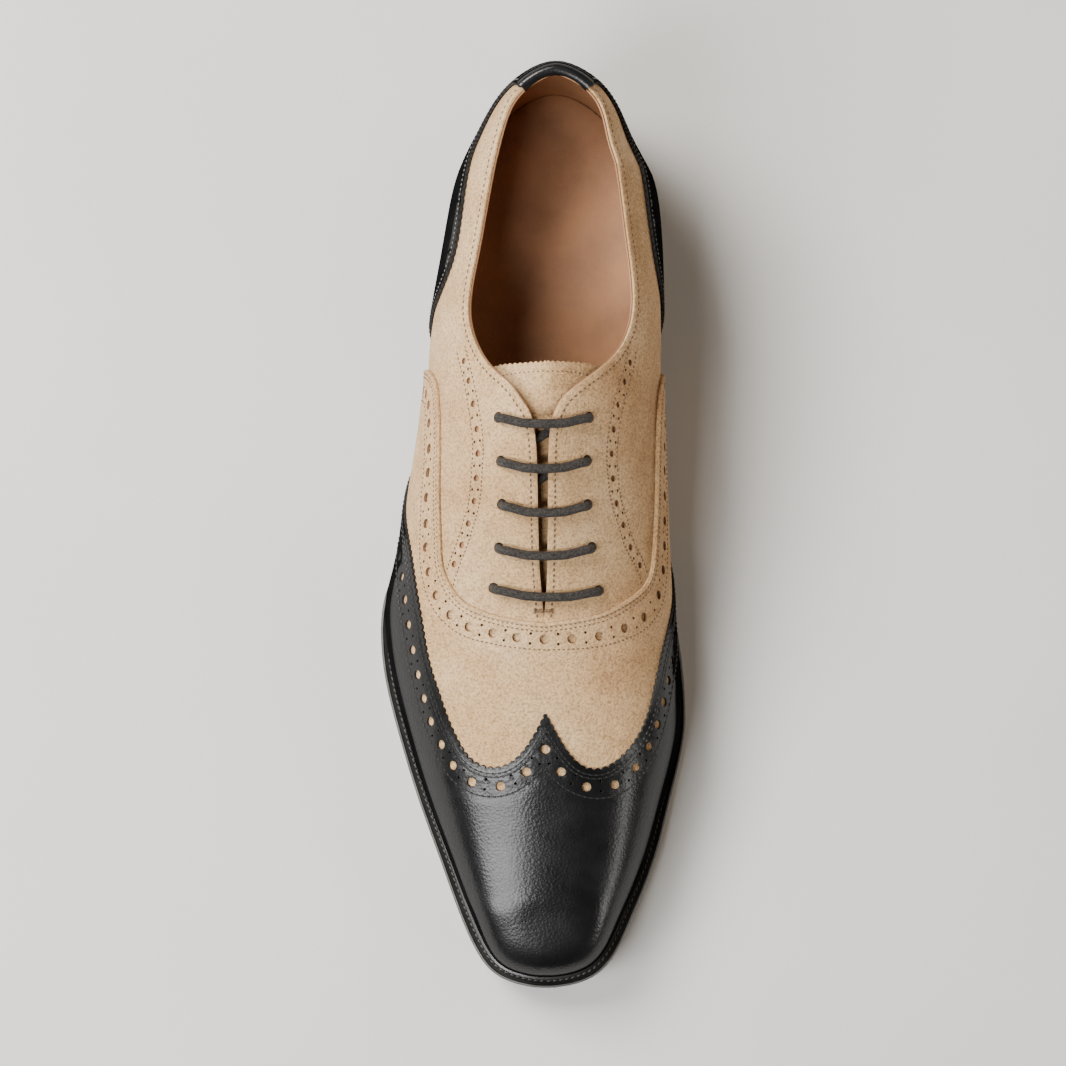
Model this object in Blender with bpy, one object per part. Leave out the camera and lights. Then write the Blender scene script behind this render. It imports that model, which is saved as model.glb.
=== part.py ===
"""Spectator shoe: a wing-tip oxford for the right foot, in suede and black calf.

Metres, +Z up. The toe points to -Y, the outer side of the foot is at -X, and the shoe stands on z = 0.
The upper, its overlays and the tongue are all cut from one surface, the last. The last is charted by a
walk round the foot (0 toe tip, 1 end of the toe fan, 2 start of the heel fan, 3 heel back) and by a share
of each profile's length (0 on the ridge, 1 at the feather line, where the upper meets the welt).
"""
import math

import bpy
import numpy as np
from mathutils import Vector
from mathutils.geometry import delaunay_2d_cdt

# Driving sizes of the shoe
SOLE_LENGTH = 0.3065
BALL_WIDTH = 0.1046
INSTEP_HEIGHT = 0.0800
HEEL_HEIGHT = 0.0250
TOE_SPRING = 0.0090
OUTSOLE_THICK = 0.0050
WELT_THICK = 0.0030
WELT_REACH = 0.0060
WELT_RING = 0.0090
INSOLE_THICK = 0.0025
TOP_PIECE_THICK = 0.0065
HEEL_INSET = 0.0006
HEEL_TAPER = 0.0012
BREAST_HOLLOW = 0.0040
SOLE_EDGE_ROUND = 0.0008
UPPER_WALL = 0.0018
VAMP_THICK = 0.0010
CAP_THICK = 0.0018
COUNTER_THICK = 0.0011
TONGUE_THICK = 0.0016
EYELET_RADIUS = 0.0022
LACE_RADIUS = 0.0013
LACE_SAG = 0.0040
GAP = 0.0003
LACE_GAP = 0.0004

# Counts
LIFT_COUNT = 3
EYELET_SIDES = 8
SOLE_ROWS = 42
HEEL_ROWS = 60
BREAST_NODES = 13
OUTLINE_POINTS = 2000

# Lines across the shoe, as shares of the sole's length from the heel
TREAD_START = 0.60
TREAD_END = 0.74
HEEL_BREAST = 0.232
HEEL_SEAT_END = 0.240
TOE_CENTRE = 0.900
HEEL_CENTRE = 0.113

# Spacing of the nodes of the upper's net
NET_ALONG = 0.0075
NET_ACROSS = 0.0068
SEAM_STEP = 0.0064
FEATHER_STEP = 0.0074
# How close a node may come to a seam or to another node, shares of NET_ACROSS
NET_CLEAR = 0.52
NET_SAME = 0.40
# The net is worked out in millimetres, and its nodes closer than this become one
MILLIMETRES = 1000.0
NET_MERGE = 0.02
# From this share of a profile down to the feather, a piece's thickness turns level
LEVEL_SHARE = 0.86

# The outsole seen from above, once round from the toe by the outer side to the heel and back.
# along: share of the sole's length from the heel; across: share of half the ball width
SOLE_OUTLINE = (
    (1.0000, 0.085), (0.9970, -0.070), (0.9880, -0.215), (0.9700, -0.330), (0.9260, -0.462),
    (0.8600, -0.606), (0.7925, -0.750), (0.7250, -0.872), (0.6600, -0.968), (0.6130, -1.000),
    (0.5670, -0.980), (0.5200, -0.880), (0.4500, -0.775), (0.3500, -0.660), (0.2400, -0.590),
    (0.1600, -0.530), (0.1100, -0.465), (0.0700, -0.360), (0.0330, -0.230), (0.0080, -0.040),
    (0.0000, 0.140), (0.0080, 0.320), (0.0330, 0.510), (0.0700, 0.640), (0.1100, 0.755),
    (0.1600, 0.800), (0.2400, 0.790), (0.3500, 0.740), (0.4500, 0.765), (0.5300, 0.860),
    (0.6130, 0.960), (0.6800, 1.000), (0.7250, 0.990), (0.7925, 0.900), (0.8600, 0.795),
    (0.9260, 0.640), (0.9600, 0.545), (0.9820, 0.440), (0.9950, 0.290),
)

# How far the sole stands out beyond the feather line, as shares of WELT_REACH.
# along, outer side, inner side
REACH_TABLE = (
    (0.00, 0.30, 0.30),
    (0.20, 0.30, 0.30),
    (0.40, 0.42, 0.36),
    (0.60, 0.96, 0.80),
    (0.80, 1.00, 0.90),
    (1.00, 1.06, 1.06),
)

# The last's sections. crest: height of the ridge over the feather, share of INSTEP_HEIGHT.
# place: where the ridge lies, share of half the ball width. Each side: out (how far the wall swells
# beyond the feather, share of half the ball width), up (where it does, share of the section's height)
# and roof (how flat the top is, share of the section's reach).
SECTION_TABLE = (
    # along, crest, place, outer out, outer up, outer roof, inner out, inner up, inner roof
    (0.900, 0.285, 0.082, 0.02, 0.80, 0.78, 0.02, 0.80, 0.78),
    (0.830, 0.370, 0.080, 0.05, 0.72, 0.72, 0.04, 0.75, 0.74),
    (0.740, 0.480, 0.078, 0.09, 0.62, 0.64, 0.09, 0.68, 0.68),
    (0.650, 0.590, 0.074, 0.12, 0.54, 0.58, 0.12, 0.60, 0.62),
    (0.560, 0.720, 0.066, 0.20, 0.52, 0.54, 0.25, 0.54, 0.58),
    (0.470, 0.845, 0.060, 0.28, 0.50, 0.50, 0.41, 0.50, 0.54),
    (0.380, 0.910, 0.066, 0.27, 0.50, 0.46, 0.42, 0.50, 0.50),
    (0.290, 0.850, 0.090, 0.30, 0.52, 0.36, 0.33, 0.50, 0.42),
    (0.200, 0.830, 0.120, 0.21, 0.52, 0.32, 0.21, 0.54, 0.36),
    (0.113, 0.880, 0.140, 0.17, 0.54, 0.34, 0.14, 0.54, 0.36),
)
# The profiles of the two ends: walk, out, up, roof
TOE_PROFILES = ((0.0, 0.03, 0.84, 0.76), (0.5, 0.02, 0.82, 0.80))
HEEL_PROFILES = ((2.5, 0.08, 0.62, 0.66), (3.0, 0.05, 0.66, 0.92))

# Seams on the last: walk, share. Each runs from the shoe's middle line on its own side.
OPENING_OUTER = (
    (1.385, 0.000), (1.422, 0.009), (1.459, 0.015), (1.536, 0.018), (1.589, 0.021), (1.623, 0.029),
    (1.653, 0.050), (1.670, 0.083), (1.689, 0.126), (1.706, 0.186), (1.727, 0.261), (1.757, 0.338),
    (1.788, 0.385), (1.816, 0.405), (1.865, 0.408), (1.922, 0.387), (1.975, 0.356), (2.220, 0.335),
    (2.600, 0.365), (3.000, 0.378),
)
OPENING_INNER = (
    (1.385, 0.000), (1.422, 0.012), (1.459, 0.017), (1.536, 0.021), (1.589, 0.021), (1.629, 0.026),
    (1.651, 0.039), (1.671, 0.068), (1.688, 0.117), (1.706, 0.189), (1.728, 0.281), (1.757, 0.371),
    (1.787, 0.419), (1.814, 0.435), (1.868, 0.422), (1.920, 0.388), (1.974, 0.352), (2.220, 0.336),
    (2.600, 0.365), (3.000, 0.378),
)
VAMP_OUTER = (
    (1.379, 0.000), (1.385, 0.130), (1.394, 0.226), (1.405, 0.302), (1.420, 0.353), (1.436, 0.387),
    (1.461, 0.421), (1.503, 0.438), (1.562, 0.452), (1.626, 0.475), (1.678, 0.517), (1.707, 0.562),
    (1.724, 0.650), (1.733, 0.790), (1.738, 1.000),
)
VAMP_INNER = (
    (1.379, 0.000), (1.385, 0.134), (1.395, 0.260), (1.411, 0.366), (1.429, 0.458), (1.449, 0.509),
    (1.478, 0.530), (1.519, 0.541), (1.573, 0.548), (1.628, 0.561), (1.682, 0.599), (1.712, 0.665),
    (1.726, 0.770), (1.733, 0.880), (1.738, 1.000),
)
WING_OUTER = (
    (1.257, 0.000), (1.246, 0.017), (1.213, 0.086), (1.188, 0.186), (1.183, 0.284), (1.195, 0.382),
    (1.222, 0.437), (1.250, 0.470), (1.290, 0.498), (1.332, 0.521), (1.380, 0.527), (1.414, 0.538),
    (1.450, 0.572), (1.492, 0.635), (1.540, 0.745), (1.590, 0.880), (1.630, 1.000),
)
WING_INNER = (
    (1.257, 0.000), (1.246, 0.020), (1.214, 0.084), (1.186, 0.181), (1.181, 0.265), (1.188, 0.340),
    (1.215, 0.436), (1.249, 0.496), (1.277, 0.528), (1.304, 0.556), (1.332, 0.587), (1.361, 0.630),
    (1.390, 0.690), (1.430, 0.785), (1.490, 0.895), (1.560, 1.000),
)
COUNTER_OUTER = (
    (2.700, 0.370), (2.695, 0.425), (2.680, 0.495), (2.640, 0.545), (2.540, 0.575), (2.380, 0.580),
    (2.150, 0.568), (2.000, 0.556), (1.940, 0.555), (1.903, 0.562), (1.877, 0.579), (1.851, 0.615),
    (1.826, 0.680), (1.802, 0.785), (1.778, 0.905), (1.760, 1.000),
)
COUNTER_INNER = (
    (2.700, 0.370), (2.695, 0.425), (2.680, 0.495), (2.640, 0.545), (2.540, 0.573), (2.380, 0.576),
    (2.150, 0.560), (2.000, 0.549), (1.955, 0.562), (1.925, 0.582), (1.900, 0.607), (1.875, 0.641),
    (1.848, 0.692), (1.820, 0.772), (1.786, 0.890), (1.762, 1.000),
)
TONGUE_SIDE = ((1.722, 0.000), (1.722, 0.180), (1.714, 0.300), (1.660, 0.325), (1.560, 0.325),
               (1.440, 0.330), (1.390, 0.315), (1.362, 0.250), (1.350, 0.130), (1.348, 0.000))
# Lace holes, top row first: walk, share
EYELETS_OUTER = ((1.649, 0.176), (1.592, 0.159), (1.536, 0.155), (1.479, 0.172), (1.426, 0.197))
EYELETS_INNER = ((1.649, 0.176), (1.593, 0.170), (1.536, 0.177), (1.480, 0.201), (1.423, 0.239))
# The tongue's drop under the upper, share of its full drop: walk, share
TONGUE_DROP = ((1.34, 0.0), (1.375, 0.0), (1.405, 1.0), (1.73, 1.0))
# The end of the lace's long hidden run, beside the top lace hole of the inner side: share outboard
HIDDEN_RUN_OUT = 0.055
# How the lace turns at a hole, shares of LACE_RADIUS: how far back it goes through the hole, how far
# from the hole it lies on the facing, and where it leaves the hole under it
LACE_BACK = 0.25
LACE_LANDING = 2.2
LACE_UNDER = 0.6
# Height of the stop on the way, share of the full lift, and its place, share of the landing
LACE_SHOULDER = 0.82
LACE_SHOULDER_PLACE = 0.45

MATERIALS = {
    # name: colour, roughness, metallic
    "suede": ((0.55, 0.44, 0.33), 0.95, 0.0),
    "black_calf": ((0.030, 0.030, 0.034), 0.25, 0.0),
    "edge_leather": ((0.020, 0.019, 0.020), 0.45, 0.0),
    "rubber": ((0.025, 0.025, 0.025), 0.75, 0.0),
    "lining_leather": ((0.42, 0.24, 0.12), 0.60, 0.0),
    "lace_cord": ((0.060, 0.062, 0.068), 0.55, 0.0),
}


def spline(knots, values):
    """The natural cubic spline through a table's column or columns, as a function of the knots' scale."""
    x = np.asarray(knots, float)
    y = np.asarray(values, float)
    step = np.diff(x)
    last = len(x) - 1
    matrix = np.eye(len(x))
    right = np.zeros_like(y)
    for i in range(1, last):
        matrix[i, i - 1:i + 2] = step[i - 1], 2 * (step[i - 1] + step[i]), step[i]
        right[i] = 6 * ((y[i + 1] - y[i]) / step[i] - (y[i] - y[i - 1]) / step[i - 1])
    bend = np.linalg.solve(matrix, right)

    def value(at):
        at = np.asarray(at, float)
        i = np.clip(np.searchsorted(x, at) - 1, 0, last - 1)
        width = step[i]
        part = (at - x[i]) / width
        if y.ndim > 1:
            part, width = part[..., None], width[..., None]
        curve = ((1 - part) ** 3 - (1 - part)) * bend[i] + (part ** 3 - part) * bend[i + 1]
        return (1 - part) * y[i] + part * y[i + 1] + width ** 2 / 6 * curve
    return value


def smooth_line(points, count, closed=False):
    """Points evenly along the smooth curve through a few given points."""
    p = np.asarray(points, float)
    wrap = 3
    if closed:
        p = np.concatenate([p[-wrap:], p, p[:wrap + 1]])
    chord = np.linalg.norm(np.diff(p, axis=0), axis=1)
    knots = np.concatenate([[0.0], np.cumsum(np.sqrt(chord))])
    curve = spline(knots, p)
    start, end = (knots[wrap], knots[-wrap - 1]) if closed else (0.0, knots[-1])
    fine = curve(np.linspace(start, end, 20 * count))
    length = np.concatenate([[0.0], np.cumsum(np.linalg.norm(np.diff(fine, axis=0), axis=1))])
    even = np.linspace(0.0, length[-1], count, endpoint=not closed)
    return np.stack([np.interp(even, length, fine[:, c]) for c in range(p.shape[1])], 1)


def along_y(along):
    """The y of a share of the sole's length from the heel."""
    return (0.5 - np.asarray(along, float)) * SOLE_LENGTH


def bottom_z(y):
    """Height of the outsole's underside: heel seat, arch, flat tread and toe spring."""
    along = 0.5 - np.asarray(y, float) / SOLE_LENGTH
    arch = np.clip((along - HEEL_SEAT_END) / (TREAD_START - HEEL_SEAT_END), 0, 1)
    spring = np.clip((along - TREAD_END) / (1 - TREAD_END), 0, None)
    return HEEL_HEIGHT * 0.5 * (1 + np.cos(math.pi * arch)) + TOE_SPRING * spring ** 1.8


def outsole_top(y):
    return bottom_z(y) + OUTSOLE_THICK


def welt_top(y):
    return outsole_top(y) + GAP + WELT_THICK


def feather_z(y):
    """Height at which the upper starts, just over the welt."""
    return welt_top(y) + GAP


class Sole:
    """The sole's outline, with a loop at any inset, cut in rows that run straight across the shoe."""

    def __init__(self):
        half = BALL_WIDTH / 2
        table = np.array(SOLE_OUTLINE)
        corners = np.stack([table[:, 1] * half, along_y(table[:, 0])], 1)
        self.outline = smooth_line(corners, OUTLINE_POINTS, closed=True)
        ahead = np.roll(self.outline, -1, axis=0) - np.roll(self.outline, 1, axis=0)
        ahead /= np.linalg.norm(ahead, axis=1, keepdims=True)
        self.inward = np.stack([-ahead[:, 1], ahead[:, 0]], 1)
        self.inward *= np.sign(np.median(np.sum((self.outline.mean(0) - self.outline) * self.inward, 1)))

    def feather(self):
        """The feather line: the outline drawn in by the welt's reach on each side."""
        table = np.array(REACH_TABLE)
        along = 0.5 - self.outline[:, 1] / SOLE_LENGTH
        outer = spline(table[:, 0], table[:, 1])(along)
        inner = spline(table[:, 0], table[:, 2])(along)
        lean = np.clip(0.5 + self.outline[:, 0] / (BALL_WIDTH / 2), 0, 1)
        reach = WELT_REACH * (outer + (inner - outer) * lean)
        return self.outline + self.inward * reach[:, None]

    def offset(self, line, inset):
        """A line drawn in by a distance."""
        return line + self.inward * inset

    def rows(self, line, back=0.0, front=1.0, count=SOLE_ROWS):
        """A loop of 2 * count points: down the outer side and up the inner one, two on each row."""
        y = line[:, 1]
        toe, heel = int(np.argmin(y)), int(np.argmax(y))
        one = np.roll(line, -toe, axis=0)
        split = (heel - toe) % len(line)
        sides = [one[:split + 1], np.concatenate([one[split:], one[:1]])]
        sides.sort(key=lambda side: side[:, 0].mean())
        low, high = y.min(), y.max()
        steps = (1 - np.cos(np.linspace(0, math.pi, count + 1))) / 2
        level = low + (high - low) * ((1 - front) + (front - back) * steps)
        across = []
        for side in sides:
            order = np.argsort(side[:, 1])
            across.append(np.interp(level, side[order, 1], side[order, 0]))
        left = np.stack([across[0], level], 1)
        right = np.stack([across[1], level], 1)
        return np.concatenate([left, right[-2:0:-1]])


class Last:
    """The surface of the last, as a grid of points for each side, read by walk and share."""

    WALKS = 600
    SHARES = 120

    def __init__(self, sole):
        half = BALL_WIDTH / 2
        table = np.array(SECTION_TABLE)
        places = 1 + (TOE_CENTRE - table[:, 0]) / (TOE_CENTRE - HEEL_CENTRE)
        self.crest = spline(places, table[:, 1] * INSTEP_HEIGHT)
        self.ridge = spline(places, table[:, 2] * half)
        toe, heel = np.array(TOE_PROFILES), np.array(HEEL_PROFILES)
        self.walks = np.linspace(0, 3, self.WALKS)
        self.grid, self.normal, self.length = {}, {}, {}
        feather = sole.feather()
        for side, first in ((-1, 3), (1, 6)):
            knots = np.concatenate([-toe[:0:-1, 0], toe[:, 0], places, heel[:, 0]])
            middle = table[:, first:first + 3]
            columns = np.concatenate([toe[:0:-1, 1:], toe[:, 1:], middle, heel[:, 1:]])
            shape = spline(knots, columns)(self.walks)
            self._fill(side, feather, shape[:, 0] * half, shape[:, 1], shape[:, 2])

    def frame(self, walk, side):
        """The ridge point where a profile starts, and the way it runs, both seen from above."""
        walk = np.asarray(walk, float)
        middle = np.clip(walk, 1, 2)
        along = TOE_CENTRE + (middle - 1) * (HEEL_CENTRE - TOE_CENTRE)
        centre = np.stack([self.ridge(middle), along_y(along)], -1)
        angle = (np.clip(walk, 0, 1) + np.clip(walk - 2, 0, 1)) * math.pi / 2
        return centre, np.stack([side * np.sin(angle), -np.cos(angle)], -1)

    def _fill(self, side, feather, out, up, roof):
        """Works out one side: a cubic profile from the feather up over the wall to the ridge."""
        centre, direction = self.frame(self.walks, side)
        reach = np.array([self._reach(feather, c, d) for c, d in zip(centre, direction)])
        foot_y = centre[:, 1] + direction[:, 1] * reach
        foot_z = feather_z(foot_y)
        top_z = feather_z(centre[:, 1]) + self.crest(np.clip(self.walks, 1, 2))
        step = 0.01
        rise = self.crest(1 + step) - self.crest(1)
        run = step * (TOE_CENTRE - HEEL_CENTRE) * SOLE_LENGTH
        fall = (rise / run) * np.where(self.walks < 1, direction[:, 1], 0.0)
        share = np.linspace(0, 1, self.SHARES)

        def at(radius, z):
            plan = centre + direction * radius[:, None]
            return np.concatenate([plan, z[:, None]], 1)[:, None, :]
        foot = at(reach, foot_z)
        wall = at(reach + out, foot_z + up * (top_z - foot_z))
        over = at(roof * reach, top_z + fall * roof * reach)
        ridge = at(reach * 0, top_z)
        u = share[None, :, None]
        line = (1 - u) ** 3 * ridge + 3 * u * (1 - u) ** 2 * over
        line = line + 3 * u ** 2 * (1 - u) * wall + u ** 3 * foot
        chord = np.linalg.norm(np.diff(line, axis=1), axis=2)
        arc = np.concatenate([np.zeros((len(line), 1)), np.cumsum(chord, 1)], 1)
        even = [[np.interp(share, a / a[-1], p[:, c]) for c in range(3)] for a, p in zip(arc, line)]
        grid = np.array(even).transpose(0, 2, 1)
        normal = np.cross(np.gradient(grid, axis=1), np.gradient(grid, axis=0)) * side
        normal[:, 0] = normal[:, 1]
        self.grid[side] = grid
        self.normal[side] = normal / np.maximum(np.linalg.norm(normal, axis=2, keepdims=True), 1e-12)
        self.length[side] = arc[:, -1]

    @staticmethod
    def _reach(outline, centre, direction):
        """How far a ray from the ridge goes until it meets the outline."""
        edge = np.roll(outline, -1, axis=0) - outline
        away = outline - centre
        cross = direction[0] * edge[:, 1] - direction[1] * edge[:, 0]
        cross = np.where(np.abs(cross) < 1e-12, 1e-12, cross)
        distance = (away[:, 0] * edge[:, 1] - away[:, 1] * edge[:, 0]) / cross
        along = (away[:, 0] * direction[1] - away[:, 1] * direction[0]) / cross
        return distance[(distance > 0) & (along >= 0) & (along < 1)].min()

    def chart(self, walk, share, side):
        """The flat place of a point: the shell laid out flat, each profile at its full length."""
        centre, direction = self.frame(walk, side)
        arc = np.interp(walk, self.walks, self.length[side]) * share
        return centre + direction * np.asarray(arc)[..., None]

    def locate(self, flat):
        """Side, walk and share of flat places."""
        flat = np.atleast_2d(flat)
        toe_y, heel_y = along_y(TOE_CENTRE), along_y(HEEL_CENTRE)
        middle = 1 + (flat[:, 1] - toe_y) / (heel_y - toe_y)
        away = flat[:, 0] - self.ridge(np.clip(middle, 1, 2))
        side = np.where(away < 0, -1, 1)
        toe = np.arctan2(np.abs(away), toe_y - flat[:, 1]) / (math.pi / 2)
        heel = 2 + np.arctan2(flat[:, 1] - heel_y, np.abs(away)) / (math.pi / 2)
        walk = np.where(middle < 1, toe, np.where(middle > 2, heel, middle))
        beyond = np.maximum(np.maximum(toe_y - flat[:, 1], flat[:, 1] - heel_y), 0)
        arc = np.hypot(away, beyond)
        length = np.where(side < 0, np.interp(walk, self.walks, self.length[-1]),
                          np.interp(walk, self.walks, self.length[1]))
        return side, walk, np.clip(arc / length, 0, 1)

    def place(self, flat, lift=0.0):
        """Points of the surface over flat places, raised along the surface's normal by a lift."""
        side, walk, share = self.locate(flat)
        row = np.clip(walk / 3 * (self.WALKS - 1), 0, self.WALKS - 1.000001)
        column = np.clip(share * (self.SHARES - 1), 0, self.SHARES - 1.000001)
        i, j = row.astype(int), column.astype(int)
        fi, fj = (row - i)[:, None], (column - j)[:, None]
        points, normals = np.zeros((len(walk), 3)), np.zeros((len(walk), 3))
        for each in (-1, 1):
            mine = side == each
            for result, grid in ((points, self.grid[each]), (normals, self.normal[each])):
                a, b, u, v = i[mine], j[mine], fi[mine], fj[mine]
                near = (1 - v) * grid[a, b] + v * grid[a, b + 1]
                far = (1 - v) * grid[a + 1, b] + v * grid[a + 1, b + 1]
                result[mine] = (1 - u) * near + u * far
        level = np.clip((share - LEVEL_SHARE) / (1 - LEVEL_SHARE), 0, 1)
        normals[:, 2] *= 1 - level * level * (3 - 2 * level)
        normals /= np.linalg.norm(normals, axis=1, keepdims=True)
        points = points + normals * np.broadcast_to(lift, len(walk))[:, None]
        foot = share > 0.9999
        points[foot, 2] = feather_z(points[foot, 1])
        return points


def seam(last, table, side, step=SEAM_STEP):
    """Flat points evenly along the smooth seam through a table of walk and share."""
    rows = np.array(table)
    corners = last.chart(rows[:, 0], rows[:, 1], side)
    length = np.linalg.norm(np.diff(corners, axis=0), axis=1).sum()
    line = smooth_line(corners, max(4, int(round(length / step)) + 1))
    line[0], line[-1] = corners[0], corners[-1]
    return line


def both_sides(last, outer, inner, step=SEAM_STEP):
    """A seam from its outer end over the shoe's middle to its inner end."""
    outer_line, inner_line = seam(last, outer, -1, step), seam(last, inner, 1, step)
    return np.concatenate([outer_line[::-1], inner_line[1:]])


def inside(points, polygon):
    """Which points lie inside a closed polygon."""
    x, y = points[:, 0], points[:, 1]
    result = np.zeros(len(points), bool)
    for (ax, ay), (bx, by) in zip(polygon, np.roll(polygon, -1, axis=0)):
        crosses = (ay > y) != (by > y)
        slope = (bx - ax) / (by - ay) if by != ay else 0.0
        result ^= crosses & (x < ax + (y - ay) * slope)
    return result


def clearance(points, chains):
    """Distance from each point to the nearest of some polylines."""
    nearest = np.full(len(points), np.inf)
    for chain in chains:
        for a, b in zip(chain[:-1], chain[1:]):
            edge = b - a
            t = np.clip((points - a) @ edge / max(edge @ edge, 1e-18), 0, 1)
            nearest = np.minimum(nearest, np.linalg.norm(points - (a + t[:, None] * edge), axis=1))
    return nearest


class Net:
    """One net of triangles over the whole last, with every seam among its edges.

    The upper, its overlays and the tongue are each some of its triangles, at their own lifts, so that
    neighbours keep one even gap wherever they overlap.
    """

    def __init__(self, last):
        self.last = last
        self.opening = np.concatenate([
            seam(last, OPENING_OUTER, -1), seam(last, OPENING_INNER, 1)[::-1][1:-1]])
        self.vamp = both_sides(last, VAMP_OUTER, VAMP_INNER)
        self.wing = both_sides(last, WING_OUTER, WING_INNER)
        self.counter_lines = [seam(last, COUNTER_OUTER, -1), seam(last, COUNTER_INNER, 1)]
        for line in self.counter_lines:
            apart = np.linalg.norm(self.opening - line[0], axis=1)
            line[0] = self.opening[np.argmin(apart)]
        self.tongue = np.concatenate([
            seam(last, TONGUE_SIDE, -1), seam(last, TONGUE_SIDE, 1)[::-1][1:-1]])
        self.eyelets = [self.ring(hole, side) for side, holes in ((-1, EYELETS_OUTER), (1, EYELETS_INNER))
                        for hole in holes]
        self.feather = self.edge_loop([self.vamp, self.wing, *self.counter_lines])
        closed = [self.opening, self.tongue, self.feather, *self.eyelets]
        chains = [np.concatenate([loop, loop[:1]]) for loop in closed]
        chains += [self.vamp, self.wing, *self.counter_lines]
        fill = self.fill_nodes()
        fill = fill[clearance(fill, chains) > NET_CLEAR * NET_ACROSS]
        self.triangulate(chains, fill)

    def ring(self, hole, side):
        """A lace hole's outline."""
        centre = self.last.chart(np.array(hole[0]), np.array(hole[1]), side)
        angle = (np.arange(EYELET_SIDES) + 0.5) / EYELET_SIDES * 2 * math.pi
        radius = EYELET_RADIUS / math.cos(math.pi / EYELET_SIDES)
        return centre + radius * np.stack([np.cos(angle), np.sin(angle)], 1)

    def edge_loop(self, seams):
        """Nodes round the feather line, with the ends of the seams among them."""
        walks = {-1: [], 1: []}
        for line in seams:
            side, walk, share = self.last.locate(line[[0, -1]])
            for s, w, edge in zip(side, walk, share):
                if edge > 0.999:
                    walks[s].append(w)
        loop = []
        for side in (-1, 1):
            foot = self.last.grid[side][:, -1]
            length = np.concatenate([[0], np.cumsum(np.linalg.norm(np.diff(foot, axis=0), axis=1))])
            stops = [0.0, *sorted(walks[side]), 3.0]
            stations = []
            for a, b in zip(stops[:-1], stops[1:]):
                low, high = np.interp([a, b], self.last.walks, length)
                count = max(1, int(round((high - low) / FEATHER_STEP)))
                stations.extend(np.interp(np.linspace(low, high, count + 1)[:-1], length, self.last.walks))
            stations = np.array(stations + [3.0])
            flat = self.last.chart(stations, np.ones(len(stations)), side)
            loop.append(flat if side < 0 else flat[::-1][1:-1])
        return np.concatenate(loop)

    def fill_nodes(self):
        """Nodes between the seams: rows along the middle, rings round the two ends."""
        nodes = []
        toe_y, heel_y = along_y(TOE_CENTRE), along_y(HEEL_CENTRE)
        rows = int(round((heel_y - toe_y) / NET_ALONG))
        for side in (-1, 1):
            for k in range(rows + 1):
                walk = 1 + k / rows
                length = np.interp(walk, self.last.walks, self.last.length[side])
                arcs = (np.arange(int(length / NET_ACROSS)) + (0.5 if k % 2 else 0.0)) * NET_ACROSS
                nodes.append(self.last.chart(np.full(len(arcs), walk), arcs / length, side))
            for start, end in ((0.0, 1.0), (2.0, 3.0)):
                length = float(np.interp((start + end) / 2, self.last.walks, self.last.length[side]))
                for ring, arc in enumerate(np.arange(NET_ACROSS, length, NET_ACROSS)):
                    share = arc / length
                    middle = self.last.grid[side][self.last.WALKS * int(start + 1) // 3 - 1]
                    place = middle[int(share * (self.last.SHARES - 1)), :2]
                    centre, _ = self.last.frame(np.array((start + end) / 2), side)
                    radius = min(np.linalg.norm(place - centre), np.linalg.norm(middle[-1, :2] - centre))
                    count = max(1, int(round(math.pi / 2 * radius / NET_ALONG)))
                    shift = 0.5 if ring % 2 else 0.0
                    walks = start + (np.arange(count + 1) + shift) / count
                    walks = walks[(walks > start + 0.02) & (walks < end - 0.02)]
                    if start == 0.0 and not ring % 2 and side < 0:
                        walks = np.append(walks, 0.0)
                    if end == 3.0 and not ring % 2 and side < 0:
                        walks = np.append(walks, 3.0)
                    nodes.append(self.last.chart(walks, np.full(len(walks), share), side))
        nodes = np.concatenate(nodes)
        keys = np.round(nodes / (NET_ACROSS * NET_SAME)).astype(int)
        _, first = np.unique(keys, axis=0, return_index=True)
        return nodes[np.sort(first)]

    def triangulate(self, chains, fill):
        """Constrained Delaunay triangles through all nodes and seams."""
        points, edges = [], []
        for chain in chains:
            start = len(points)
            points.extend(chain)
            edges.extend((start + k, start + k + 1) for k in range(len(chain) - 1))
        points = np.concatenate([np.array(points), fill])
        given = [Vector((x * MILLIMETRES, y * MILLIMETRES)) for x, y in points]
        verts, _, faces, *_ = delaunay_2d_cdt(given, edges, [], 0, NET_MERGE)
        self.nodes = np.array([tuple(v) for v in verts]) / MILLIMETRES
        self.triangles = np.array(faces)
        corner = self.nodes[self.triangles]
        turn = np.cross(corner[:, 1] - corner[:, 0], corner[:, 2] - corner[:, 0])
        self.triangles[turn < 0] = self.triangles[turn < 0][:, ::-1]
        self.centres = self.nodes[self.triangles].mean(1)
        self.triangles = self.triangles[inside(self.centres, self.feather) & (np.abs(turn) > 1e-10)]
        self.centres = self.nodes[self.triangles].mean(1)

    def beyond(self, line, round_toe):
        """Which triangles lie between a seam and the toe, or the heel."""
        side, walk, _ = self.last.locate(line[[0, -1]])
        ends = {s: w for s, w in zip(side, walk)}
        stop = 0.0 if round_toe else 3.0
        rim = []
        for s in (1, -1):
            walks = np.linspace(ends[s], stop, 60)
            arc = self.last.chart(walks, np.full(60, 1.15), s)
            rim.append(arc if s > 0 else arc[::-1])
        return inside(self.centres, np.concatenate([line, *rim]))

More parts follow.
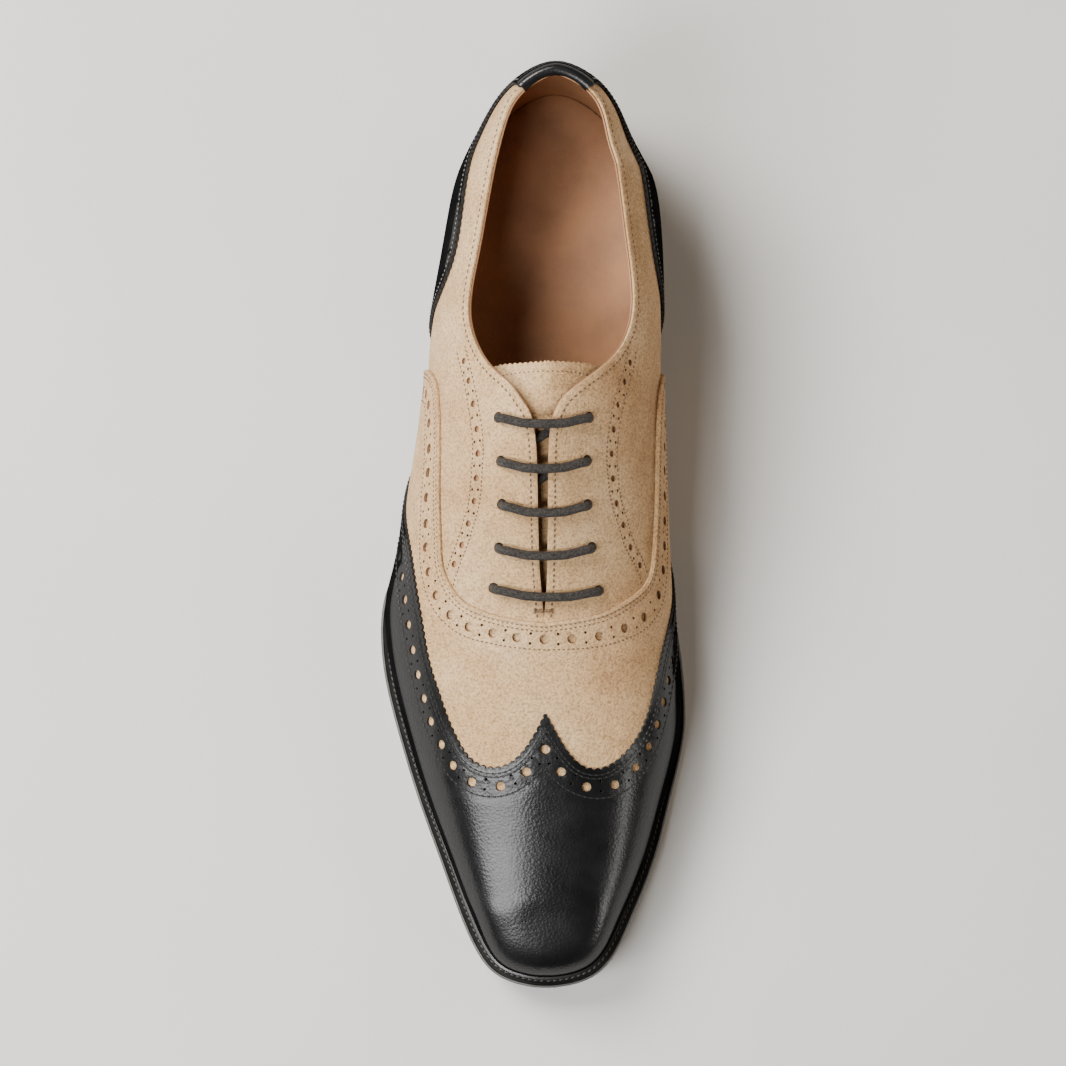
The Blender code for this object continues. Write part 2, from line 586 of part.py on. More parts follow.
    def panel(self, mask, low, high, shrink=0.0):
        """A closed solid over some of the net's triangles, between two lifts."""
        triangles = self.triangles[mask]
        used, flat_index = np.unique(triangles, return_inverse=True)
        triangles = flat_index.reshape(-1, 3)
        flat = self.nodes[used].copy()
        directed = np.concatenate([triangles[:, [0, 1]], triangles[:, [1, 2]], triangles[:, [2, 0]]])
        known = set(map(tuple, directed))
        rim = [(a, b) for a, b in known if (b, a) not in known]
        if shrink:
            _, _, share = self.last.locate(flat)
            push = np.zeros_like(flat)
            for a, b in rim:
                edge = flat[b] - flat[a]
                inward = np.array([-edge[1], edge[0]]) / np.linalg.norm(edge)
                push[a] += inward
                push[b] += inward
            size = np.linalg.norm(push, axis=1)
            on_rim = size > 1e-9
            push[on_rim] /= size[on_rim, None]
            foot = share > 0.999
            push[foot] = 0.0
            flat += push * shrink
            for k in np.flatnonzero(foot & on_rim):
                neighbours = [b if a == k else a for a, b in rim if k in (a, b)]
                free = [n for n in neighbours if not foot[n]]
                if free:
                    other = [n for n in neighbours if foot[n]][0]
                    ahead = flat[other] - flat[k]
                    flat[k] += ahead * (shrink / np.linalg.norm(ahead))
        low = low(flat) if callable(low) else low
        high = high(flat) if callable(high) else high
        under, upper = self.last.place(flat, low), self.last.place(flat, high)
        count = len(flat)
        faces = [tuple(t) for t in triangles + count] + [tuple(t[::-1]) for t in triangles]
        for a, b in rim:
            faces.append((a, b, b + count))
            faces.append((a, b + count, a + count))
        return np.concatenate([under, upper]), faces


def make_object(name, points, faces, material):
    """An object with its own mesh and material, its faces turned outward."""
    mesh = bpy.data.meshes.new(name)
    mesh.from_pydata([tuple(p) for p in points], [], [tuple(int(i) for i in f) for f in faces])
    if signed_volume(mesh) < 0:
        mesh.flip_normals()
    mesh.shade_smooth()
    mesh.set_sharp_from_angle(angle=math.radians(40))
    mesh.validate()
    obj = bpy.data.objects.new(name, mesh)
    bpy.context.scene.collection.objects.link(obj)
    obj.data.materials.append(material)
    return obj


def signed_volume(mesh):
    """Six times the volume that the faces enclose, below zero where they point inward."""
    mesh.calc_loop_triangles()
    volume = 0.0
    for triangle in mesh.loop_triangles:
        a, b, c = (mesh.vertices[i].co for i in triangle.vertices)
        volume += a.dot(b.cross(c))
    return volume


def plate(levels, ring=False):
    """A closed solid through loops of rows, one for each level from the bottom to the top.

    With ring set, the last level joins the first one, which leaves the middle open.
    """
    count = len(levels[0])
    rows = count // 2
    points = np.concatenate(levels)
    faces = []
    pairs = list(zip(range(len(levels) - 1), range(1, len(levels))))
    if ring:
        pairs.append((len(levels) - 1, 0))
    for low, high in pairs:
        for k in range(count):
            a, b = low * count + k, low * count + (k + 1) % count
            c, d = high * count + (k + 1) % count, high * count + k
            faces.extend([(a, b, c), (a, c, d)])
    if not ring:
        for level, flip in ((0, True), (len(levels) - 1, False)):
            start = level * count
            for k in range(rows):
                a, b = start + k, start + k + 1
                c, d = start + (count - k - 1) % count, start + (count - k) % count
                cap = [t for t in ((a, b, c), (a, c, d)) if len(set(t)) == 3]
                faces.extend(t[::-1] if flip else t for t in cap)
    return points, faces


def raised(loop, height):
    """A flat loop at the height that a function of y gives."""
    return np.concatenate([loop, height(loop[:, 1])[:, None]], 1)


def make_sole(sole, materials):
    """Outsole, welt, insole and the stacked heel."""
    feather = sole.feather()
    edge = sole.outline

    def loop(line, inset, height):
        return raised(sole.rows(sole.offset(line, inset)), height)
    outsole = [
        loop(edge, SOLE_EDGE_ROUND, bottom_z),
        loop(edge, 0.0, lambda y: bottom_z(y) + SOLE_EDGE_ROUND),
        loop(edge, 0.0, outsole_top),
    ]
    make_object("outsole", *plate(outsole), materials["edge_leather"])
    welt = [
        loop(edge, 0.0, lambda y: outsole_top(y) + GAP),
        loop(edge, 0.0, lambda y: welt_top(y) - SOLE_EDGE_ROUND / 2),
        loop(edge, SOLE_EDGE_ROUND / 2, welt_top),
        loop(feather, WELT_RING, welt_top),
        loop(feather, WELT_RING, lambda y: outsole_top(y) + GAP),
    ]
    make_object("welt", *plate(welt, ring=True), materials["edge_leather"])
    wall = UPPER_WALL + 2 * GAP
    insole = [
        loop(feather, WELT_RING + GAP, lambda y: outsole_top(y) + GAP),
        loop(feather, WELT_RING + GAP, feather_z),
        loop(feather, wall, feather_z),
        loop(feather, wall, lambda y: feather_z(y) + INSOLE_THICK),
    ]
    make_object("insole", *plate(insole), materials["lining_leather"])
    make_heel(sole, materials)


def make_heel(sole, materials):
    """The heel: leather lifts and a rubber top piece, each a solid of its own."""
    lift_total = HEEL_HEIGHT - TOP_PIECE_THICK - GAP * (LIFT_COUNT + 1)
    lift_thick = lift_total / LIFT_COUNT
    layers = [("heel_top_piece", 0.0, TOP_PIECE_THICK, "rubber")]
    floor = TOP_PIECE_THICK + GAP
    for k in range(LIFT_COUNT):
        layers.append((f"heel_lift_{k + 1}", floor, floor + lift_thick, "edge_leather"))
        floor += lift_thick + GAP
    for name, low, high, material in layers:
        levels = []
        for z in (low, high):
            inset = HEEL_INSET + HEEL_TAPER * (1 - z / HEEL_HEIGHT)
            levels.append(heel_loop(sole, inset, z))
        points = np.concatenate(levels)
        count = len(levels[0])
        faces = []
        for k in range(count):
            after = (k + 1) % count
            faces.append((k, after, count + after, count + k))
        faces.append(tuple(range(count))[::-1])
        faces.append(tuple(range(count, 2 * count)))
        make_object(name, points, faces, materials[material])


def heel_loop(sole, inset, z):
    """The heel's outline at a height: round the back, and a hollowed breast at the front."""
    line = sole.rows(sole.offset(sole.outline, inset), count=2 * HEEL_ROWS)
    breast = float(along_y(HEEL_BREAST))
    back = line[line[:, 1] > breast]
    left = back[back[:, 0] < back[np.argmax(back[:, 1]), 0]]
    right = back[back[:, 0] >= back[np.argmax(back[:, 1]), 0]]
    left = left[np.argsort(left[:, 1])]
    right = right[np.argsort(-right[:, 1])]
    arc = np.concatenate([left, right])[::2]
    start, end = arc[-1], arc[0]
    across = np.linspace(0, 1, BREAST_NODES + 2)[1:-1]
    hollow = np.stack([start[0] + (end[0] - start[0]) * across,
                       breast + BREAST_HOLLOW * 4 * across * (1 - across)], 1)
    loop = np.concatenate([arc, hollow])
    return np.concatenate([loop, np.full((len(loop), 1), z)], 1)


def make_upper(last, materials):
    """The hollow upper, the overlays on it and the tongue under it."""
    net = Net(last)
    in_opening = inside(net.centres, net.opening)
    in_holes = np.zeros(len(net.centres), bool)
    for hole in net.eyelets:
        in_holes |= inside(net.centres, hole)
    shell = ~in_opening & ~in_holes
    make_object("upper", *net.panel(shell, -UPPER_WALL, 0.0), materials["suede"])
    ahead_of_vamp = net.beyond(net.vamp, True)
    in_wing = net.beyond(net.wing, True)
    vamp = ahead_of_vamp & ~in_wing & shell
    make_object("vamp", *net.panel(vamp, GAP, GAP + VAMP_THICK, GAP), materials["suede"])
    make_object("wing_cap", *net.panel(in_wing & shell, GAP, GAP + CAP_THICK, GAP),
                materials["black_calf"])
    outer, inner = net.counter_lines
    counter_line = np.concatenate([outer[::-1], inner])
    counter = net.beyond(counter_line, False) & shell
    make_object("counter", *net.panel(counter, GAP, GAP + COUNTER_THICK, GAP),
                materials["black_calf"])
    drop = np.array(TONGUE_DROP)
    seat = UPPER_WALL + GAP
    deep = 2 * LACE_RADIUS + 2 * LACE_GAP

    def tongue_top(flat):
        _, walk, _ = last.locate(flat)
        return -(seat + deep * np.interp(walk, drop[:, 0], drop[:, 1]))

    def tongue_under(flat):
        return tongue_top(flat) - TONGUE_THICK
    tongue = inside(net.centres, net.tongue)
    make_object("tongue", *net.panel(tongue, tongue_under, tongue_top), materials["suede"])


def lace_route(last):
    """The lace's centre line: five bars over the facings, and the hidden runs under them."""
    over = LACE_RADIUS + LACE_GAP
    under = -(UPPER_WALL + LACE_GAP + LACE_RADIUS)
    middle_wall = -UPPER_WALL / 2
    holes = {}
    for side, table in ((-1, EYELETS_OUTER), (1, EYELETS_INNER)):
        rows = np.array(table)
        for row, flat in enumerate(last.chart(rows[:, 0], rows[:, 1], side)):
            holes[side, row] = flat
    route = []

    def stop(flat, lift):
        route.append((np.array(flat, float), lift))

    def bar(row, start):
        a, b = holes[start, row], holes[-start, row]
        ahead = (b - a) / np.linalg.norm(b - a)
        back = ahead * LACE_BACK * LACE_RADIUS
        reach = ahead * LACE_LANDING * LACE_RADIUS
        sag = np.array([0.0, -LACE_SAG])
        stop(a - back, middle_wall)
        stop(a + reach * LACE_SHOULDER_PLACE, over * LACE_SHOULDER)
        stop(a + reach, over)
        for part in (0.3, 0.5, 0.7):
            arch = 4 * part * (1 - part)
            stop(a + (b - a) * part + sag * arch * 0.5, over)
        stop(b - reach, over)
        stop(b - reach * LACE_SHOULDER_PLACE, over * LACE_SHOULDER)
        stop(b + back, middle_wall)

    def hidden(a, b):
        leave = (b - a) / np.linalg.norm(b - a) * LACE_UNDER * LACE_RADIUS
        stop(a + leave, under * LACE_SHOULDER)
        for part in (0.25, 0.5, 0.75):
            stop(a + (b - a) * part, under)
        stop(b - leave, under * LACE_SHOULDER)

    def outboard(row):
        walk, share = EYELETS_INNER[row]
        return last.chart(np.array(walk), np.array(share + HIDDEN_RUN_OUT), 1)
    stop(holes[-1, 0], under)
    starts = (-1, -1, -1, 1, -1)
    for row, start in enumerate(starts):
        bar(row, start)
        if row + 1 < len(starts):
            hidden(holes[-start, row], holes[starts[row + 1], row + 1])
    stop(holes[1, 4] + np.array([LACE_UNDER * LACE_RADIUS, 0.0]), under * LACE_SHOULDER)
    for row in (4, 3, 2, 1, 0):
        stop(outboard(row) + np.array([0.0, LACE_RADIUS]), under)
    return route


def make_lace(last, materials):
    """The lace, one round cord on a smooth line through its route's stops."""
    route = lace_route(last)
    points = np.concatenate([last.place(flat[None], lift) for flat, lift in route])
    curve = bpy.data.curves.new("lace", "CURVE")
    curve.dimensions = "3D"
    curve.bevel_depth = LACE_RADIUS
    curve.bevel_resolution = 2
    curve.use_fill_caps = True
    line = curve.splines.new("POLY")
    line.points.add(len(points) - 1)
    for target, point in zip(line.points, points):
        target.co = (*point, 1.0)
    obj = bpy.data.objects.new("lace", curve)
    bpy.context.scene.collection.objects.link(obj)
    curve.materials.append(materials["lace_cord"])
    return obj


def make_materials():
    """One material for each finish."""
    made = {}
    for name, (colour, roughness, metallic) in MATERIALS.items():
        material = bpy.data.materials.new(name)
        material.use_nodes = True
        shader = material.node_tree.nodes["Principled BSDF"]
        shader.inputs["Base Color"].default_value = (*colour, 1.0)
        shader.inputs["Roughness"].default_value = roughness
        shader.inputs["Metallic"].default_value = metallic
        material.diffuse_color = (*colour, 1.0)
        made[name] = material
    return made


def main():
    for obj in list(bpy.data.objects):
        bpy.data.objects.remove(obj)
    materials = make_materials()
    sole = Sole()
    last = Last(sole)
    make_sole(sole, materials)
    make_upper(last, materials)
    make_lace(last, materials)


main()
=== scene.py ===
"""Spectator shoe, dressed: suede quarters and vamp, black calf wing and counter, waxed lace.

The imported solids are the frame. Each sub-assembly is a class that cuts its pieces from the same last as
the solids do, in finer triangles, and dresses them. Metres, +Z up, the toe points to -Y.
"""
import logging
import math
from dataclasses import dataclass, field
from enum import Enum, IntEnum
from typing import Callable, Optional, Sequence, Union

import bpy
import numpy as np
from mathutils import Matrix, Vector
from mathutils.geometry import delaunay_2d_cdt


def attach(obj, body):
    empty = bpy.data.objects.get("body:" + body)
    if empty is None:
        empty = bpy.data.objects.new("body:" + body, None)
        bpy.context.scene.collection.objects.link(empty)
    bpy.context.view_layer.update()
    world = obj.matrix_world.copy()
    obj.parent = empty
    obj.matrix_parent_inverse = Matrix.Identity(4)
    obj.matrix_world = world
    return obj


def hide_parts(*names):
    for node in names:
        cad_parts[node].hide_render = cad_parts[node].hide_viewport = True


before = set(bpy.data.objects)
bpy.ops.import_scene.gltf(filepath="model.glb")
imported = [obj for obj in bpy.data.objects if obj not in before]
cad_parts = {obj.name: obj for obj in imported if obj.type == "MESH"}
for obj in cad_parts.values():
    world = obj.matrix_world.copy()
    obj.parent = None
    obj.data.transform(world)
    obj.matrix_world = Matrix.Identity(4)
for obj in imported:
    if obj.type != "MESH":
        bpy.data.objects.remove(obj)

Table = Sequence[Sequence[float]]
Mesh = tuple[np.ndarray, list, list]
Lift = Union[float, Callable[[np.ndarray], np.ndarray]]
Height = Callable[[np.ndarray], np.ndarray]
MM = 0.001
SEAM_STEP = 1.2 * MM
STITCH_STEP = 0.5 * MM
# How finely an offset line is worked out, and the share of its distance that each point has to keep
OFFSET_FINE = 0.4 * MM
OFFSET_KEEP = 0.985
log = logging.getLogger("shoe")


class Side(IntEnum):
    """The two sides of the foot, as the sign of their direction along X."""
    OUTER = -1
    INNER = 1


class Slot(Enum):
    """The record's material slots."""
    SUEDE = "suede"
    CALF = "black_calf"
    EDGE = "edge_leather"
    RUBBER = "rubber"
    LINING = "lining_leather"
    CORD = "lace_cord"


def spline(knots: Sequence[float], values: np.ndarray) -> Callable[[np.ndarray], np.ndarray]:
    """The natural cubic spline through a table's column or columns.

    Args:
        knots: where the values stand, rising.
        values: one row for each knot.

    Returns:
        A function of the knots' scale.
    """
    x = np.asarray(knots, float)
    y = np.asarray(values, float)
    step = np.diff(x)
    last = len(x) - 1
    matrix = np.eye(len(x))
    right = np.zeros_like(y)
    for i in range(1, last):
        matrix[i, i - 1:i + 2] = step[i - 1], 2 * (step[i - 1] + step[i]), step[i]
        right[i] = 6 * ((y[i + 1] - y[i]) / step[i] - (y[i] - y[i - 1]) / step[i - 1])
    bend = np.linalg.solve(matrix, right)

    def value(at: np.ndarray) -> np.ndarray:
        """The spline's value.

        Args:
            at: the places on the knots' scale.

        Returns:
            A point for each place.
        """
        at = np.asarray(at, float)
        i = np.clip(np.searchsorted(x, at) - 1, 0, last - 1)
        width = step[i]
        part = (at - x[i]) / width
        if y.ndim > 1:
            part, width = part[..., None], width[..., None]
        curve = ((1 - part) ** 3 - (1 - part)) * bend[i] + (part ** 3 - part) * bend[i + 1]
        return (1 - part) * y[i] + part * y[i + 1] + width ** 2 / 6 * curve
    return value


def unit(vectors: np.ndarray) -> np.ndarray:
    """The same directions, each of length one."""
    return vectors / np.maximum(np.linalg.norm(vectors, axis=-1, keepdims=True), 1e-12)


def smoothstep(part: np.ndarray) -> np.ndarray:
    """A share from 0 to 1 that starts and ends gently."""
    return part * part * (3 - 2 * part)


def arc_length(points: np.ndarray) -> np.ndarray:
    """The length along a polyline up to each of its points."""
    return np.concatenate([[0.0], np.cumsum(np.linalg.norm(np.diff(points, axis=0), axis=1))])


def columns_at(at: np.ndarray, known: np.ndarray, values: np.ndarray) -> np.ndarray:
    """A table's columns read at new places on its scale."""
    return np.stack([np.interp(at, known, values[:, c]) for c in range(values.shape[1])], 1)


def resample(points: np.ndarray, count: int, endpoint: bool = True) -> np.ndarray:
    """A polyline's points at even steps, with or without its last one."""
    length = arc_length(points)
    return columns_at(np.linspace(0.0, length[-1], count, endpoint=endpoint), length, points)


def smooth_line(points: np.ndarray, count: int, closed: bool = False) -> np.ndarray:
    """Points evenly along the smooth curve through a few given points.

    Args:
        points: the given points, in any number of dimensions.
        count: how many points come back.
        closed: whether the last point runs on to the first.

    Returns:
        The even points.
    """
    p = np.asarray(points, float)
    wrap = 3
    if closed:
        p = np.concatenate([p[-wrap:], p, p[:wrap + 1]])
    chord = np.linalg.norm(np.diff(p, axis=0), axis=1)
    knots = np.concatenate([[0.0], np.cumsum(np.sqrt(chord))])
    start, end = (knots[wrap], knots[-wrap - 1]) if closed else (0.0, knots[-1])
    return resample(spline(knots, p)(np.linspace(start, end, 20 * count)), count, not closed)


def even_line(points: np.ndarray, step: float) -> np.ndarray:
    """The same polyline with points at even steps."""
    return resample(points, max(3, int(round(arc_length(points)[-1] / step)) + 1))


def inside(points: np.ndarray, polygon: np.ndarray) -> np.ndarray:
    """Which points lie inside a closed polygon.

    Args:
        points: flat points.
        polygon: its corners in order.

    Returns:
        True for each point inside.
    """
    x, y = points[:, 0], points[:, 1]
    result = np.zeros(len(points), bool)
    for (ax, ay), (bx, by) in zip(polygon, np.roll(polygon, -1, axis=0)):
        if ay == by:
            continue
        crosses = (ay > y) != (by > y)
        result ^= crosses & (x < ax + (y - ay) * (bx - ax) / (by - ay))
    return result


def clearance(points: np.ndarray, lines: Sequence[np.ndarray]) -> np.ndarray:
    """Distance from each point to the nearest of some polylines.

    Args:
        points: flat points.
        lines: the polylines.

    Returns:
        One distance for each point.
    """
    nearest = np.full(len(points), np.inf)
    for line in lines:
        for a, b in zip(line[:-1], line[1:]):
            edge = b - a
            t = np.clip((points - a) @ edge / max(edge @ edge, 1e-18), 0, 1)
            nearest = np.minimum(nearest, np.linalg.norm(points - (a + t[:, None] * edge), axis=1))
    return nearest


def line_normals(line: np.ndarray) -> np.ndarray:
    """The direction to the left of a flat polyline at each point."""
    ahead = unit(np.gradient(line, axis=0))
    return np.stack([-ahead[:, 1], ahead[:, 0]], 1)


def offset_line(line: np.ndarray, distance: float, toward: np.ndarray, away: bool = False) -> np.ndarray:
    """A polyline beside another one.

    Args:
        line: the first polyline, flat.
        distance: how far beside it.
        toward: a flat point on the wanted side.
        away: whether the side away from that point is wanted instead.

    Returns:
        The new polyline, without the loops that an offset makes in tight bends.
    """
    fine = even_line(line, OFFSET_FINE)
    normal = line_normals(fine)
    sign = np.sign(np.sum(normal * (toward - fine)))
    moved = fine + normal * distance * (-sign if away else sign)
    return even_line(moved[clearance(moved, [line]) > distance * OFFSET_KEEP], SEAM_STEP)


def tube_faces(rings: int, around: int) -> list[tuple[int, ...]]:
    """Faces of a tube through rings of points, with a cap at each end.

    Args:
        rings: how many rings there are.
        around: how many points are on each ring.

    Returns:
        The four-sided faces, then the two caps.
    """
    faces: list[tuple[int, ...]] = []
    for low in range(0, (rings - 1) * around, around):
        for s in range(around):
            after = (s + 1) % around
            faces.append((low + s, low + after, low + around + after, low + around + s))
    return faces + [tuple(range(around))[::-1], tuple((rings - 1) * around + s for s in range(around))]


@dataclass(frozen=True)
class Sizes:
    """The driving sizes of the shoe, in metres, the same as in the solids."""
    sole_length: float = 0.3065
    ball_width: float = 0.1046
    instep_height: float = 0.0800
    heel_height: float = 0.0250
    toe_spring: float = 0.0090
    outsole_thick: float = 0.0050
    welt_thick: float = 0.0030
    welt_reach: float = 0.0060
    welt_ring: float = 0.0090
    insole_thick: float = 0.0025
    top_piece_thick: float = 0.0065
    heel_inset: float = 0.0006
    heel_taper: float = 0.0012
    breast_hollow: float = 0.0040
    wall: float = 0.0018
    gap: float = 0.0003
    lace_radius: float = 0.0013
    lace_gap: float = 0.0004
    lace_sag: float = 0.0040
    tread_start: float = 0.60
    tread_end: float = 0.74
    heel_breast: float = 0.232
    heel_seat_end: float = 0.240
    toe_centre: float = 0.900
    heel_centre: float = 0.113

    def along_y(self, along: np.ndarray) -> np.ndarray:
        """The y of a share of the sole's length from the heel."""
        return (0.5 - np.asarray(along, float)) * self.sole_length

    def bottom_z(self, y: np.ndarray) -> np.ndarray:
        """Height of the outsole's underside: heel seat, arch, flat tread and toe spring.

        Args:
            y: the places from the toe to the heel.

        Returns:
            A height for each.
        """
        along = 0.5 - np.asarray(y, float) / self.sole_length
        arch = np.clip((along - self.heel_seat_end) / (self.tread_start - self.heel_seat_end), 0, 1)
        spring = np.clip((along - self.tread_end) / (1 - self.tread_end), 0, None)
        return self.heel_height * 0.5 * (1 + np.cos(math.pi * arch)) + self.toe_spring * spring ** 1.8

    def outsole_top(self, y: np.ndarray) -> np.ndarray:
        """Height of the outsole's upper face."""
        return self.bottom_z(y) + self.outsole_thick

    def welt_top(self, y: np.ndarray) -> np.ndarray:
        """Height of the welt's upper face."""
        return self.outsole_top(y) + self.gap + self.welt_thick

    def feather_z(self, y: np.ndarray) -> np.ndarray:
        """Height at which the upper starts."""
        return self.welt_top(y) + self.gap


SIZES = Sizes()


class SoleShape:
    """The sole's outline seen from above, and loops at any inset from it."""

    OUTLINE: Table = (
        (1.0000, 0.085), (0.9970, -0.070), (0.9880, -0.215), (0.9700, -0.330), (0.9260, -0.462),
        (0.8600, -0.606), (0.7925, -0.750), (0.7250, -0.872), (0.6600, -0.968), (0.6130, -1.000),
        (0.5670, -0.980), (0.5200, -0.880), (0.4500, -0.775), (0.3500, -0.660), (0.2400, -0.590),
        (0.1600, -0.530), (0.1100, -0.465), (0.0700, -0.360), (0.0330, -0.230), (0.0080, -0.040),
        (0.0000, 0.140), (0.0080, 0.320), (0.0330, 0.510), (0.0700, 0.640), (0.1100, 0.755),
        (0.1600, 0.800), (0.2400, 0.790), (0.3500, 0.740), (0.4500, 0.765), (0.5300, 0.860),
        (0.6130, 0.960), (0.6800, 1.000), (0.7250, 0.990), (0.7925, 0.900), (0.8600, 0.795),
        (0.9260, 0.640), (0.9600, 0.545), (0.9820, 0.440), (0.9950, 0.290),
    )
    # along, outer side, inner side: how far the sole stands out, shares of the welt's reach
    REACH: Table = (
        (0.00, 0.30, 0.30), (0.20, 0.30, 0.30), (0.40, 0.42, 0.36), (0.60, 0.96, 0.80),
        (0.80, 1.00, 0.90), (1.00, 1.06, 1.06),
    )
    POINTS = 2000

    def __init__(self) -> None:
        """Draws the outline and the directions that lead inward from it."""
        table = np.array(self.OUTLINE)
        corners = np.stack([table[:, 1] * SIZES.ball_width / 2, SIZES.along_y(table[:, 0])], 1)
        self.outline = smooth_line(corners, self.POINTS, closed=True)
        ahead = unit(np.roll(self.outline, -1, axis=0) - np.roll(self.outline, 1, axis=0))
        self.inward = np.stack([-ahead[:, 1], ahead[:, 0]], 1)
        self.inward *= np.sign(np.median(np.sum((self.outline.mean(0) - self.outline) * self.inward, 1)))

    def reach(self) -> np.ndarray:
        """How far the sole stands out beyond the feather line, for each point of the outline."""
        table = np.array(self.REACH)
        along = 0.5 - self.outline[:, 1] / SIZES.sole_length
        outer = spline(table[:, 0], table[:, 1])(along)
        inner = spline(table[:, 0], table[:, 2])(along)
        lean = np.clip(0.5 + self.outline[:, 0] / (SIZES.ball_width / 2), 0, 1)
        return SIZES.welt_reach * (outer + (inner - outer) * lean)

    def feather(self) -> np.ndarray:
        """The feather line, where the upper meets the welt."""
        return self.outline + self.inward * self.reach()[:, None]

    def offset(self, line: np.ndarray, inset: Union[float, np.ndarray]) -> np.ndarray:
        """A line drawn in by a distance."""
        return line + self.inward * np.broadcast_to(inset, len(line))[:, None]

    def rows(self, line: np.ndarray, count: int) -> np.ndarray:
        """A loop of points in rows that run straight across the shoe.

        Args:
            line: a closed line round the sole.
            count: how many rows lie between the toe and the heel.

        Returns:
            2 * count points, two on each row and one at each end.
        """
        y = line[:, 1]
        toe, heel = int(np.argmin(y)), int(np.argmax(y))
        one = np.roll(line, -toe, axis=0)
        split = (heel - toe) % len(line)
        sides = [one[:split + 1], np.concatenate([one[split:], one[:1]])]
        sides.sort(key=lambda side: side[:, 0].mean())
        steps = (1 - np.cos(np.linspace(0, math.pi, count + 1))) / 2
        level = y.min() + (y.max() - y.min()) * steps
        across = []
        for side in sides:
            order = np.argsort(side[:, 1])
            across.append(np.stack([np.interp(level, side[order, 1], side[order, 0]), level], 1))
        return np.concatenate([across[0], across[1][-2:0:-1]])


